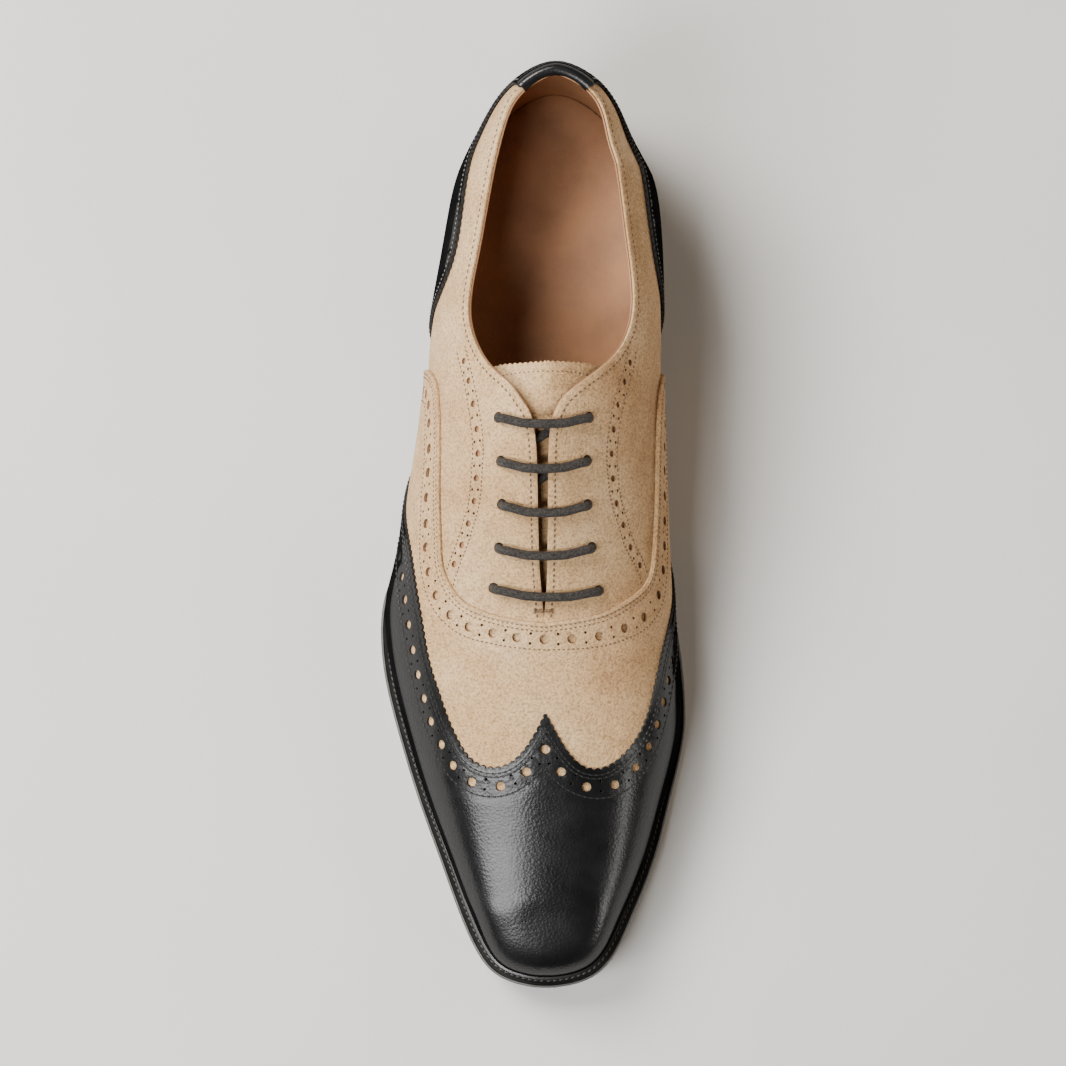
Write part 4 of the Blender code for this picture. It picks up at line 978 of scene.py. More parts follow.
    def triangulate(self) -> None:
        """Constrained Delaunay triangles through all nodes and lines."""
        points: list = []
        edges: list = []
        relief: list = []
        drop: list = []
        holes: list = []
        for line in self.lines:
            start, count = len(points), len(line.points)
            points.extend(line.points)
            relief.extend([line.relief] * count)
            drop.extend([line.drop] * count)
            holes.extend([line.hole] * count)
            edges.extend((start + k, start + k + 1) for k in range(count - 1))
            if line.closed:
                edges.append((start + count - 1, start))
        given = np.array(points)
        fill = self.fill_nodes()
        near = np.full(len(fill), np.inf)
        for start in range(0, len(given), 400):
            apart = np.linalg.norm(fill[:, None] - given[None, start:start + 400], axis=2)
            near = np.minimum(near, apart.min(1))
        fill = fill[near > 0.5 * self.across]
        every = np.concatenate([given, fill])
        relief = np.array(relief + [0.0] * len(fill))
        drop = np.array(drop + [0.0] * len(fill))
        holes += [False] * len(fill)
        flat_mm = [Vector((x * 1000, y * 1000)) for x, y in every]
        verts, _, faces, origin, *_ = delaunay_2d_cdt(flat_mm, edges, [], 0, self.merge_mm)
        self.nodes = np.array([tuple(v) for v in verts]) * MM
        self.relief = np.array([min((relief[k] for k in ids), default=0.0) for ids in origin])
        self.drop = np.array([max((drop[k] for k in ids), default=0.0) for ids in origin])
        self.on_hole = np.array([any(holes[k] for k in ids) for ids in origin])
        self.triangles = np.array(faces)
        corner = self.nodes[self.triangles]
        turn = np.cross(corner[:, 1] - corner[:, 0], corner[:, 2] - corner[:, 0])
        self.triangles[turn < 0] = self.triangles[turn < 0][:, ::-1]
        centres = self.nodes[self.triangles].mean(1)
        self.triangles = self.triangles[inside(centres, self.feather) & (np.abs(turn) > 1e-11)]
        self.centres = self.nodes[self.triangles].mean(1)
        log.info("net: %d nodes, %d triangles", len(self.nodes), len(self.triangles))

    def rise(self, flat: np.ndarray) -> np.ndarray:
        """How far the listed creases lift flat places.

        Args:
            flat: the places.

        Returns:
            The lifts.
        """
        side, walk, share = self.last.locate(flat)
        total = np.zeros(len(flat))
        for crease in self.creases:
            total += crease.rise(side, walk, share)
        return total

    def in_holes(self, holes: Sequence[Hole]) -> np.ndarray:
        """Which triangles lie in some holes.

        Args:
            holes: the holes.

        Returns:
            True for each triangle in one of them.
        """
        result = np.zeros(len(self.centres), bool)
        for hole in holes:
            result |= np.hypot(self.centres[:, 0] - hole.x, self.centres[:, 1] - hole.y) < hole.radius
        return result

    def beyond(self, line: np.ndarray, round_toe: bool) -> np.ndarray:
        """Which triangles lie between a seam and the toe, or the heel.

        Args:
            line: the seam, from one foot of the upper to the other.
            round_toe: whether the toe's side is wanted, and not the heel's.

        Returns:
            True for each triangle there.
        """
        side, walk, _ = self.last.locate(line[[0, -1]])
        ends = dict(zip(side, walk))
        stop = 0.0 if round_toe else 3.0
        rim = []
        for s in (1, -1):
            walks = np.linspace(ends[s], stop, 60)
            arc = self.last.chart(walks, np.full(60, 1.15), s)
            rim.append(arc if s > 0 else arc[::-1])
        return inside(self.centres, np.concatenate([line, *rim]))

    def panel(self, mask: np.ndarray, low: Lift, high: Lift) -> Mesh:
        """A closed piece of leather over some of the net's triangles, between two lifts.

        Args:
            mask: the triangles.
            low: lift of the underside.
            high: lift of the face.

        Returns:
            Points, faces and for each face its finish: 0 face, 1 underside, 2 outer edge, 3 hole's edge.
        """
        used, flat_index = np.unique(self.triangles[mask], return_inverse=True)
        triangles = flat_index.reshape(-1, 3)
        flat = self.nodes[used]
        directed = np.concatenate([triangles[:, [0, 1]], triangles[:, [1, 2]], triangles[:, [2, 0]]])
        known = set(map(tuple, directed.tolist()))
        rim = [(a, b) for a, b in known if (b, a) not in known]
        on_rim = np.zeros(len(flat), bool)
        on_rim[[a for a, _ in rim]] = True
        rise = self.rise(flat) + self.relief[used]
        low_lift = (low(flat) if callable(low) else low) + rise
        high_lift = (high(flat) if callable(high) else high) + rise - self.drop[used] * on_rim
        under = self.last.place(flat, low_lift)
        upper = self.last.place(flat, high_lift)
        count = len(flat)
        faces = (triangles + count).tolist() + triangles[:, ::-1].tolist()
        slots = [0] * len(triangles) + [1] * len(triangles)
        punched = self.on_hole[used]
        for a, b in rim:
            faces.append((a, b, b + count, a + count))
            slots.append(3 if punched[a] and punched[b] else 2)
        return np.concatenate([under, upper]), faces, slots


class Recipe:
    """A material's nodes, laid down one after another."""

    def __init__(self, name: str, colour: Sequence[float], roughness: float) -> None:
        """Starts a material with its shader.

        Args:
            name: the material's name.
            colour: its base colour.
            roughness: its roughness.
        """
        self.material = bpy.data.materials.new(name)
        self.material.use_nodes = True
        self.tree = self.material.node_tree
        self.shader = self.tree.nodes["Principled BSDF"]
        self.place = self.add("ShaderNodeTexCoord").outputs["Object"]
        self.material.diffuse_color = (*colour, 1.0)
        self.set("Base Color", (*colour, 1.0))
        self.set("Roughness", roughness)

    def add(self, kind: str, **settings: object) -> bpy.types.Node:
        """A new node with some of its settings.

        Args:
            kind: the node's type.
            settings: values that are set on it by name.

        Returns:
            The node.
        """
        node = self.tree.nodes.new(kind)
        for name, value in settings.items():
            setattr(node, name, value)
        return node

    def set(self, socket: str, value: object) -> None:
        """A value on the shader's own socket."""
        self.shader.inputs[socket].default_value = value

    def link(self, source: bpy.types.NodeSocket, target: bpy.types.NodeSocket) -> None:
        """Joins two sockets."""
        self.tree.links.new(source, target)

    def stretched(self, x: float, y: float, z: float) -> bpy.types.NodeSocket:
        """The object's coordinates, scaled by axis.

        Args:
            x, y, z: the scale along each axis.

        Returns:
            The scaled coordinates.
        """
        node = self.add("ShaderNodeMapping")
        node.inputs["Scale"].default_value = (x, y, z)
        self.link(self.place, node.inputs["Vector"])
        return node.outputs["Vector"]

    def noise(self, scale: float, detail: float = 2.0, roughness: float = 0.5,
              at: Optional[bpy.types.NodeSocket] = None) -> bpy.types.NodeSocket:
        """Cloudy noise.

        Args:
            scale: features for each metre.
            detail: how many finer layers it has.
            roughness: how strong the finer layers are.
            at: the coordinates, the object's own where none are given.

        Returns:
            The noise, from 0 to 1.
        """
        node = self.add("ShaderNodeTexNoise")
        node.inputs["Scale"].default_value = scale
        node.inputs["Detail"].default_value = detail
        node.inputs["Roughness"].default_value = roughness
        self.link(at or self.place, node.inputs["Vector"])
        return node.outputs[0]

    def cells(self, scale: float, smooth: float) -> bpy.types.NodeSocket:
        """Distance to the middle of small cells, for leather grain.

        Args:
            scale: cells for each metre.
            smooth: how softly they join.

        Returns:
            The distance.
        """
        node = self.add("ShaderNodeTexVoronoi", feature="SMOOTH_F1")
        node.inputs["Scale"].default_value = scale
        node.inputs["Smoothness"].default_value = smooth
        self.link(self.place, node.inputs["Vector"])
        return node.outputs["Distance"]

    def range(self, source: bpy.types.NodeSocket, low: float, high: float, to_low: float,
              to_high: float) -> bpy.types.NodeSocket:
        """A value carried from one range to another.

        Args:
            source: the value.
            low, high: its range.
            to_low, to_high: the range it comes out in.

        Returns:
            The new value, kept within its range.
        """
        node = self.add("ShaderNodeMapRange", clamp=True)
        for name, value in (("From Min", low), ("From Max", high), ("To Min", to_low), ("To Max", to_high)):
            node.inputs[name].default_value = value
        self.link(source, node.inputs["Value"])
        return node.outputs["Result"]

    def ramp(self, source: bpy.types.NodeSocket, stops: Sequence[tuple]) -> bpy.types.NodeSocket:
        """Colours along a value.

        Args:
            source: the value.
            stops: place and colour of each stop.

        Returns:
            The colour.
        """
        node = self.add("ShaderNodeValToRGB")
        elements = node.color_ramp.elements
        while len(elements) < len(stops):
            elements.new(0.5)
        for element, (place, colour) in zip(elements, stops):
            element.position = place
            element.color = (*colour, 1.0)
        self.link(source, node.inputs["Fac"])
        return node.outputs["Color"]

    def blend(self, first: bpy.types.NodeSocket, second: bpy.types.NodeSocket,
              factor: Union[float, bpy.types.NodeSocket], kind: str = "MIX") -> bpy.types.NodeSocket:
        """Two colours blended.

        Args:
            first, second: the colours.
            factor: the second one's share.
            kind: how they are blended.

        Returns:
            The blend.
        """
        node = self.add("ShaderNodeMix", data_type="RGBA", blend_type=kind)
        if isinstance(factor, (int, float)):
            node.inputs[0].default_value = factor
        else:
            self.link(factor, node.inputs[0])
        self.link(first, node.inputs[6])
        self.link(second, node.inputs[7])
        return node.outputs[2]

    def bump(self, height: bpy.types.NodeSocket, depth: float, strength: float = 1.0,
             before: Optional[bpy.types.NodeSocket] = None) -> bpy.types.NodeSocket:
        """A bumped normal.

        Args:
            height: the relief.
            depth: how deep it is, in metres.
            strength: how much of it is used.
            before: a normal that it is laid over.

        Returns:
            The normal.
        """
        node = self.add("ShaderNodeBump")
        node.inputs["Distance"].default_value = depth
        node.inputs["Strength"].default_value = strength
        self.link(height, node.inputs["Height"])
        if before is not None:
            self.link(before, node.inputs["Normal"])
        return node.outputs["Normal"]

    def done(self, colour: Optional[bpy.types.NodeSocket] = None,
             roughness: Optional[bpy.types.NodeSocket] = None,
             normal: Optional[bpy.types.NodeSocket] = None) -> bpy.types.Material:
        """Joins the results to the shader.

        Args:
            colour, roughness, normal: what is joined, where given.

        Returns:
            The finished material.
        """
        for socket, target in ((colour, "Base Color"), (roughness, "Roughness"), (normal, "Normal")):
            if socket is not None:
                self.link(socket, self.shader.inputs[target])
        return self.material


@dataclass(frozen=True)
class Suede:
    """Brushed leather: short nap with fine speckle, soft clouds where it was brushed."""
    name: str = "suede_beige"
    deep: tuple[float, float, float] = (0.53, 0.318, 0.152)
    middle: tuple[float, float, float] = (0.66, 0.430, 0.222)
    light: tuple[float, float, float] = (0.75, 0.522, 0.298)

    def make(self) -> bpy.types.Material:
        """The material."""
        r = Recipe(self.name, self.middle, 0.95)
        clouds = r.noise(34.0, 3.0, 0.55)
        base = r.ramp(clouds, ((0.30, self.deep), (0.50, self.middle), (0.70, self.light)))
        fine = r.noise(1150.0, 4.0, 0.74)
        white = (1.0, 1.0, 1.0)
        speck = r.ramp(fine, ((0.36, (0.50, 0.46, 0.42)), (0.56, white), (0.72, white)))
        colour = r.blend(base, speck, 0.95, "MULTIPLY")
        brushed = r.noise(260.0, 3.0, 0.6, r.stretched(1.0, 0.45, 1.0))
        streak = r.ramp(brushed, ((0.35, (0.86, 0.84, 0.82)), (0.60, white)))
        colour = r.blend(colour, streak, 0.6, "MULTIPLY")
        r.set("Sheen Weight", 0.12)
        r.set("Sheen Roughness", 0.45)
        r.set("Sheen Tint", (1.0, 0.93, 0.84, 1.0))
        r.set("Specular IOR Level", 0.15)
        normal = r.bump(fine, 0.00052, 1.0, r.bump(brushed, 0.00025, 0.5))
        return r.done(colour, None, normal)


@dataclass(frozen=True)
class Calf:
    """Black polished leather with a fine pebbled grain, whose shine fades at a flat view."""
    name: str = "calf_black"
    colour: tuple[float, float, float] = (0.0042, 0.0042, 0.0045)
    roughness: float = 0.28
    grain: float = 0.000042
    shine: float = 0.42

    def make(self) -> bpy.types.Material:
        """The material."""
        r = Recipe(self.name, self.colour, self.roughness)
        cells = r.cells(1100.0, 0.45)
        pores = r.noise(2400.0, 2.0, 0.6)
        scuffs = r.noise(70.0, 5.0, 0.62)
        rough = r.range(scuffs, 0.35, 0.72, self.roughness * 0.92, self.roughness * 1.18)
        worn = r.ramp(scuffs, ((0.40, self.colour), (0.78, tuple(2.0 * c for c in self.colour))))
        flat_view = r.add("ShaderNodeLayerWeight").outputs["Facing"]
        r.link(r.range(flat_view, 0.30, 0.70, self.shine, 0.0), r.shader.inputs["Specular IOR Level"])
        normal = r.bump(cells, self.grain, 1.0, r.bump(pores, self.grain * 0.5, 0.5))
        return r.done(worn, rough, normal)


@dataclass(frozen=True)
class EdgeDressing:
    """Leather edges and sole, inked black and waxed, with the fine lines of the edge iron."""
    name: str = "edge_black_wax"
    colour: tuple[float, float, float] = (0.010, 0.0095, 0.0095)
    worn: tuple[float, float, float] = (0.018, 0.016, 0.015)

    def make(self) -> bpy.types.Material:
        """The material."""
        r = Recipe(self.name, self.colour, 0.36)
        lines = r.noise(1600.0, 2.0, 0.6, r.stretched(0.06, 0.06, 1.0))
        wear = r.noise(140.0, 4.0, 0.6)
        colour = r.ramp(wear, ((0.45, self.colour), (0.80, self.worn)))
        rough = r.range(wear, 0.30, 0.75, 0.30, 0.42)
        r.set("Coat Weight", 0.25)
        r.set("Coat Roughness", 0.22)
        normal = r.bump(lines, 0.0001, 0.6, r.bump(wear, 0.00015, 0.4))
        return r.done(colour, rough, normal)


@dataclass(frozen=True)
class Rubber:
    """The heel's top piece: matt black rubber, dusty in the low places."""
    name: str = "rubber_black"

    def make(self) -> bpy.types.Material:
        """The material."""
        r = Recipe(self.name, (0.022, 0.022, 0.022), 0.78)
        dust = r.noise(260.0, 5.0, 0.65)
        colour = r.ramp(dust, ((0.40, (0.018, 0.018, 0.018)), (0.75, (0.05, 0.048, 0.045))))
        return r.done(colour, r.range(dust, 0.3, 0.7, 0.68, 0.88), r.bump(dust, 0.0002, 0.5))


@dataclass(frozen=True)
class Lining:
    """Tan lining leather with fine pores."""
    name: str = "lining_tan"
    colour: tuple[float, float, float] = (0.36, 0.175, 0.080)

    def make(self) -> bpy.types.Material:
        """The material."""
        r = Recipe(self.name, self.colour, 0.55)
        clouds = r.noise(60.0, 4.0, 0.6)
        darker = tuple(0.72 * c for c in self.colour)
        colour = r.ramp(clouds, ((0.30, darker), (0.62, self.colour)))
        pores = r.cells(1300.0, 0.3)
        return r.done(colour, r.range(clouds, 0.3, 0.7, 0.48, 0.64), r.bump(pores, 0.00008, 0.7))


@dataclass(frozen=True)
class FibrousFinish:
    """A dark fibrous finish: the cut edge of a leather, also painted shade in holes."""
    name: str
    colour: tuple[float, float, float]

    def make(self) -> bpy.types.Material:
        """The material."""
        r = Recipe(self.name, self.colour, 0.85)
        fibre = r.noise(1400.0, 3.0, 0.7)
        darker = tuple(0.5 * c for c in self.colour)
        colour = r.ramp(fibre, ((0.32, darker), (0.62, self.colour)))
        return r.done(colour, None, r.bump(fibre, 0.0002, 0.7))


@dataclass(frozen=True)
class Cord:
    """Waxed cotton cord, braided: two families of strands that wind round it both ways."""
    name: str = "cord_charcoal"
    angle: float = 38.0
    strand_scale: float = 1.15

    def make(self) -> bpy.types.Material:
        """The material."""
        r = Recipe(self.name, (0.016, 0.015, 0.014), 0.58)
        uv = r.add("ShaderNodeTexCoord").outputs["UV"]
        heights = []
        for turn in (1.0, -1.0):
            mapping = r.add("ShaderNodeMapping")
            mapping.inputs["Rotation"].default_value = (0.0, 0.0, turn * math.radians(self.angle))
            r.link(uv, mapping.inputs["Vector"])
            wave = r.add("ShaderNodeTexWave", wave_type="BANDS", bands_direction="Y")
            wave.inputs["Scale"].default_value = self.strand_scale
            wave.inputs["Distortion"].default_value = 0.4
            r.link(mapping.outputs["Vector"], wave.inputs["Vector"])
            heights.append(wave.outputs["Fac"])
        both = r.add("ShaderNodeMath", operation="MAXIMUM")
        r.link(heights[0], both.inputs[0])
        r.link(heights[1], both.inputs[1])
        fuzz = r.noise(2200.0, 2.0, 0.6)
        speck = r.noise(1500.0, 3.0, 0.7)
        base = r.ramp(speck, ((0.36, (0.008, 0.008, 0.008)), (0.66, (0.085, 0.077, 0.070))))
        # Darker where the braid dips between its strands: painted shade
        strand_gap_shade = r.ramp(both.outputs["Value"], ((0.15, (0.45, 0.45, 0.45)), (0.85, (1.0, 1.0, 1.0))))
        colour = r.blend(base, strand_gap_shade, 0.8, "MULTIPLY")
        r.set("Specular IOR Level", 0.40)
        r.set("Specular Tint", (0.70, 0.68, 0.66, 1.0))
        normal = r.bump(both.outputs["Value"], 0.00016, 1.0, r.bump(fuzz, 0.00012, 0.5))
        return r.done(colour, None, normal)


@dataclass(frozen=True)
class Thread:
    """Waxed linen thread, twisted."""
    name: str
    colour: tuple[float, float, float]
    roughness: float = 0.60

    def make(self) -> bpy.types.Material:
        """The material."""
        r = Recipe(self.name, self.colour, self.roughness)
        twist = r.noise(2600.0, 2.0, 0.6)
        darker = tuple(0.55 * c for c in self.colour)
        colour = r.ramp(twist, ((0.35, darker), (0.65, self.colour)))
        return r.done(colour, None, r.bump(twist, 0.00012, 0.8))


@dataclass(frozen=True)
class PaleFloor:
    """A plain pale studio floor, faintly mottled."""
    name: str = "floor_pale"
    colour: tuple[float, float, float] = (0.66, 0.655, 0.64)

    def make(self) -> bpy.types.Material:
        """The material."""
        r = Recipe(self.name, self.colour, 0.75)
        mottle = r.noise(9.0, 4.0, 0.5)
        darker = tuple(0.965 * c for c in self.colour)
        colour = r.ramp(mottle, ((0.35, darker), (0.65, self.colour)))
        return r.done(colour, None, r.bump(r.noise(900.0, 2.0, 0.5), 0.00008, 0.3))


class Finishes:
    """Every finish of the shoe, made once."""

    def __init__(self) -> None:
        """Makes the material of every finish."""
        self.suede = Suede().make()
        self.calf = Calf().make()
        self.edge = EdgeDressing().make()
        # The welt's rim: light greys in place of black ink, the second one given as worn, a painted highlight
        # along the welt's edge
        self.rim = EdgeDressing("edge_rim_painted_highlight", (0.110, 0.108, 0.099), (0.170, 0.166, 0.152)).make()
        self.rubber = Rubber().make()
        self.lining = Lining().make()
        self.cord = Cord().make()
        # Dark tan: a suede's cut edge, and painted shade on the walls of the punched holes
        self.suede_cut_and_shade = FibrousFinish("cut_edge_tan_and_shade", (0.30, 0.17, 0.090)).make()
        self.calf_cut = FibrousFinish("cut_edge_black", (0.016, 0.015, 0.015)).make()
        self.suede_thread = Thread("thread_brown", (0.150, 0.090, 0.048)).make()
        self.grey_thread = Thread("thread_grey", (0.17, 0.155, 0.135)).make()
        self.welt_thread = Thread("thread_welt", (0.075, 0.068, 0.060)).make()
        self.black_thread = Thread("thread_black", (0.007, 0.007, 0.007), 0.50).make()
        # Needle holes: near-black capsules, painted shade in place of the holes' depth
        self.needle_shade = FibrousFinish("needle_hole_painted_shade", (0.004, 0.004, 0.004)).make()


def publish(name: str, shape: Mesh, materials: Sequence[bpy.types.Material],
            nodes: Sequence[str] = (), sharp: float = 38.0) -> bpy.types.Object:
    """Makes a piece's object and hangs it on the frame.

    Args:
        name: the piece's name.
        shape: points, faces and the finish of each face.
        materials: the finishes, in their order.
        nodes: CAD nodes that the piece stands for.
        sharp: edges over this angle stay sharp, in degrees.

    Returns:
        The object.
    """
    points, faces, slots = shape
    mesh = bpy.data.meshes.new(name)
    mesh.from_pydata(np.asarray(points).tolist(), [], faces)
    for material in materials:
        mesh.materials.append(material)
    mesh.polygons.foreach_set("material_index", np.asarray(slots, dtype=np.int32))
    mesh.validate()
    mesh.shade_smooth()
    mesh.set_sharp_from_angle(angle=math.radians(sharp))
    piece = bpy.data.objects.new(name, mesh)
    bpy.context.scene.collection.objects.link(piece)
    if nodes:
        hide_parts(*nodes)
    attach(piece, "root")
    mesh.calc_loop_triangles()
    log.info("%s: %d triangles", name, len(mesh.loop_triangles))
    return piece


@dataclass(frozen=True)
class StitchStyle:
    """One kind of stitch: thread's length on the face, pitch, width, height and slant."""
    length: float = 0.92 * MM
    pitch: float = 1.62 * MM
    width: float = 0.52 * MM
    height: float = 0.42 * MM
    slant: float = 0.0


class Stitching:
    """Rows of stitches and their needle holes, gathered into one mesh; the needle holes are dark capsules,
    painted shade.
    """

    # place along the stitch, its girth there, and how high its middle lies
    STATIONS = (
        (-1.0, 0.30, -0.55), (-0.62, 0.90, 0.15), (0.0, 1.0, 0.35), (0.62, 0.90, 0.15), (1.0, 0.30, -0.55),
    )
    SIDES = 6
    # Each needle hole is a dark capsule sunk this far and this high: painted shade in the hole
    HOLE_SUNK = 0.10 * MM
    HOLE_HIGH = 0.14 * MM

    def __init__(self) -> None:
        """Starts without a stitch, and shapes the one that every stitch is a copy of."""
        self.points: list[np.ndarray] = []
        self.faces: list = []
        self.slots: list = []
        self.count = 0
        angle = np.arange(self.SIDES) / self.SIDES * 2 * math.pi
        self.template = np.array([(u, r * math.cos(a), r * math.sin(a) + z)
                                  for u, r, z in self.STATIONS for a in angle])
        self.pattern = tube_faces(len(self.STATIONS), self.SIDES)

    def lay(self, middle: np.ndarray, ahead: np.ndarray, up: np.ndarray, size: Sequence[float],
            slot: int) -> None:
        """Lays one capsule at each middle.

        Args:
            middle: the places.
            ahead: the direction of each.
            up: the surface's normal at each.
            size: half length, half width and half height.
            slot: the finish.
        """
        side = np.cross(up, ahead)
        t = self.template
        block = (middle[:, None] + ahead[:, None] * (t[None, :, :1] * size[0])
                 + side[:, None] * (t[None, :, 1:2] * size[1]) + up[:, None] * (t[None, :, 2:] * size[2]))
        self.points.append(block.reshape(-1, 3))
        for base in range(self.count, self.count + len(middle) * len(t), len(t)):
            self.faces.extend(tuple(base + i for i in face) for face in self.pattern)
        self.slots.extend([slot] * (len(middle) * len(self.pattern)))
        self.count += len(middle) * len(t)

    def row(self, line: np.ndarray, normals: np.ndarray, style: StitchStyle, slot: int = 0,
            hole_slot: Optional[int] = 1) -> None:
        """A row of stitches along a line.

        Args:
            line: its points.
            normals: the surface's normal at each.
            style: the kind of stitch.
            slot: the thread's finish.
            hole_slot: the needle holes' finish, painted shade on dark capsules, or None for a row without
                them.
        """
        length = arc_length(line)
        count = max(1, int(length[-1] / style.pitch))
        pitch = length[-1] / count

        def frame_at(s: np.ndarray) -> tuple[np.ndarray, np.ndarray, np.ndarray]:
            """Place, direction and normal along the line.

            Args:
                s: lengths along it.

            Returns:
                The three for each length.
            """
            reach = pitch * 0.3
            ahead = columns_at(s + reach, length, line) - columns_at(s - reach, length, line)
            up = unit(columns_at(s, length, normals))
            ahead = unit(ahead - up * np.sum(ahead * up, 1)[:, None])
            ahead = ahead * math.cos(style.slant) + np.cross(up, ahead) * math.sin(style.slant)
            return columns_at(s, length, line), ahead, up
        middle, ahead, up = frame_at((np.arange(count) + 0.5) * pitch)
        self.lay(middle, ahead, up, (style.length / 2, style.width / 2, style.height / 2), slot)
        if hole_slot is None:
            return
        # The needle holes: dark capsules between the stitches, painted shade
        middle, ahead, up = frame_at(np.arange(count + 1) * pitch)
        hole = ((pitch - style.length) * 0.75, style.width * 0.45, self.HOLE_HIGH)
        self.lay(middle - up * self.HOLE_SUNK, ahead, up, hole, hole_slot)

    def mesh(self) -> Mesh:
        """All rows as one mesh."""
        return np.concatenate(self.points), self.faces, self.slots


@dataclass
class Upper:
    """The upper: quarters, lining, vamp, wing, counter, heel tab, tongue and all their stitching."""
    net: Net
    finishes: Finishes
    quarter_thick: float = 1.0 * MM
    lining_gap: float = 0.05 * MM
    vamp_low: float = 0.3 * MM
    vamp_high: float = 1.35 * MM
    wing_low: float = 1.4 * MM
    wing_high: float = 2.4 * MM
    counter_high: float = 1.4 * MM
    tongue_thick: float = 1.6 * MM
    underlap: float = 13.5 * MM
    tab_start: float = 2.705
    tab_stations: int = 26
    tack_walks: tuple[float, float] = (1.3935, 1.3965)
    tack_share: float = 0.036
    common: StitchStyle = StitchStyle()
    long: StitchStyle = StitchStyle(1.25 * MM, 2.05 * MM, 0.60 * MM, 0.48 * MM, -0.18)
    heavy: StitchStyle = StitchStyle(1.45 * MM, 2.10 * MM, 0.72 * MM, 0.52 * MM)

    def build(self) -> None:
        """Builds every piece of the upper."""
        net, f = self.net, self.finishes
        # A hole's wall takes the dark tan finish, the cut edge's colour and painted shade in the hole; outer
        # edges keep the suede
        suede = (f.suede, f.suede, f.suede, f.suede_cut_and_shade)
        calf = (f.calf, f.calf, f.calf_cut, f.calf_cut)
        pins, big = net.in_holes(net.pins), net.in_holes(net.big_holes)
        shell = ~inside(net.centres, net.opening) & ~net.in_holes(net.lace_holes)
        ahead_of_vamp = net.beyond(net.vamp, True)
        in_wing = net.beyond(net.wing_edge, True)
        near_vamp = clearance(net.centres, [net.vamp]) < self.underlap
        near_wing = clearance(net.centres, [net.wing]) < self.underlap
        quarters = shell & (~ahead_of_vamp | near_vamp) & ~pins & ~net.in_holes(net.facing_holes)
        publish("suede_quarters", net.panel(quarters, -self.quarter_thick, 0.0), suede, ["upper"])
        publish("leather_lining", net.panel(shell, -SIZES.wall, -self.quarter_thick - self.lining_gap),
                (f.lining,) * 4)
        vamp = shell & ahead_of_vamp & (~in_wing | near_wing) & ~pins & ~(big & ~in_wing)
        publish("suede_vamp", net.panel(vamp, self.vamp_low, self.vamp_high), suede, ["vamp"])
        publish("calf_wing", net.panel(in_wing & shell & ~pins & ~big, self.wing_low, self.wing_high), calf,
                ["wing_cap"])
        outer, inner = net.counter_edges
        counter = net.beyond(np.concatenate([outer[::-1], inner]), False) & shell
        publish("calf_counter", net.panel(counter, self.vamp_low, self.counter_high), calf,
                ["counter"])
        self.build_tab()
        self.build_tongue()
        self.build_stitches()

    def build_tab(self) -> None:
        """The black tab that folds over the collar at the heel's back."""
        last = self.net.last
        walks = np.linspace(self.tab_start, 3.0, self.tab_stations)
        # its section in mm: how far down from the collar's edge, and the lift over the last
        section = np.array((
            (4.2, 1.45), (4.1, 1.72), (2.4, 1.78), (0.4, 1.72), (-0.6, 1.30), (-1.05, 0.50), (-1.1, -0.60),
            (-0.8, -1.45), (-0.2, -1.98), (1.0, -2.14), (4.2, -2.12), (4.2, -1.92), (0.6, -1.90),
            (-0.2, -1.60), (-0.45, -0.60), (-0.40, 0.60), (0.1, 1.30), (0.8, 1.45))) * MM
        stations = [(w, Side.OUTER) for w in walks] + [(w, Side.INNER) for w in walks[-2::-1]]
        table = np.array(Seams.OPENING_OUTER)
        points = []
        for walk, side in stations:
            shares = np.interp(walk, table[:, 0], table[:, 1])
            shares = shares + section[:, 0] / np.interp(walk, last.walks, last.length[side])
            flat = last.chart(np.full(len(shares), walk), shares, side)
            points.append(last.place(flat, section[:, 1]))
        faces = tube_faces(len(stations), len(section))
        publish("calf_heel_tab", (np.concatenate(points), faces, [0] * len(faces)),
                (self.finishes.calf,), sharp=70.0)

    def tongue_drop(self, flat: np.ndarray) -> np.ndarray:
        """Lift of the tongue's face, below the lining and lower where the lace runs over it.

        Args:
            flat: the places.

        Returns:
            A lift for each.
        """
        _, walk, _ = self.net.last.locate(flat)
        deep = 2 * SIZES.lace_radius + 2 * SIZES.lace_gap
        return -(SIZES.wall + SIZES.gap + deep * np.interp(walk, (1.34, 1.375, 1.405, 1.73), (0, 0, 1, 1)))

    def build_tongue(self) -> None:
        """The tongue under the facings, its top edge pinked."""
        net, f = self.net, self.finishes
        tongue = inside(net.centres, net.tongue_edge)
        shape = net.panel(tongue, lambda flat: self.tongue_drop(flat) - self.tongue_thick, self.tongue_drop)
        publish("suede_tongue", shape, (f.suede, f.lining, f.suede_cut_and_shade, f.suede_cut_and_shade), ["tongue"])

    def on_face(self, flat: np.ndarray, lift: Lift) -> tuple[np.ndarray, np.ndarray]:
        """A stitch line on the leather.

        Args:
            flat: the line, flat.
            lift: how high the leather's face lies over the last.

        Returns:
            The line's points and the surface's normals.
        """
        line = even_line(flat, STITCH_STEP)
        base = (lift(line) if callable(lift) else lift) + self.net.rise(line) - self.net.groove
        low = self.net.last.place(line, base)
        return low, self.net.last.place(line, base + MM) - low

    def shown(self, line: np.ndarray, keep: np.ndarray) -> np.ndarray:
        """The longest run of a line's points that are kept.

        Args:
            line: the points.
            keep: which of them are kept.

        Returns:
            The run.
        """
        best: tuple[int, int] = (0, 0)
        start = None
        for k, ok in enumerate(list(keep) + [False]):
            if ok and start is None:
                start = k
            if not ok and start is not None:
                if k - start > best[1] - best[0]:
                    best = (start, k)
                start = None
        return line[best[0]:best[1]]

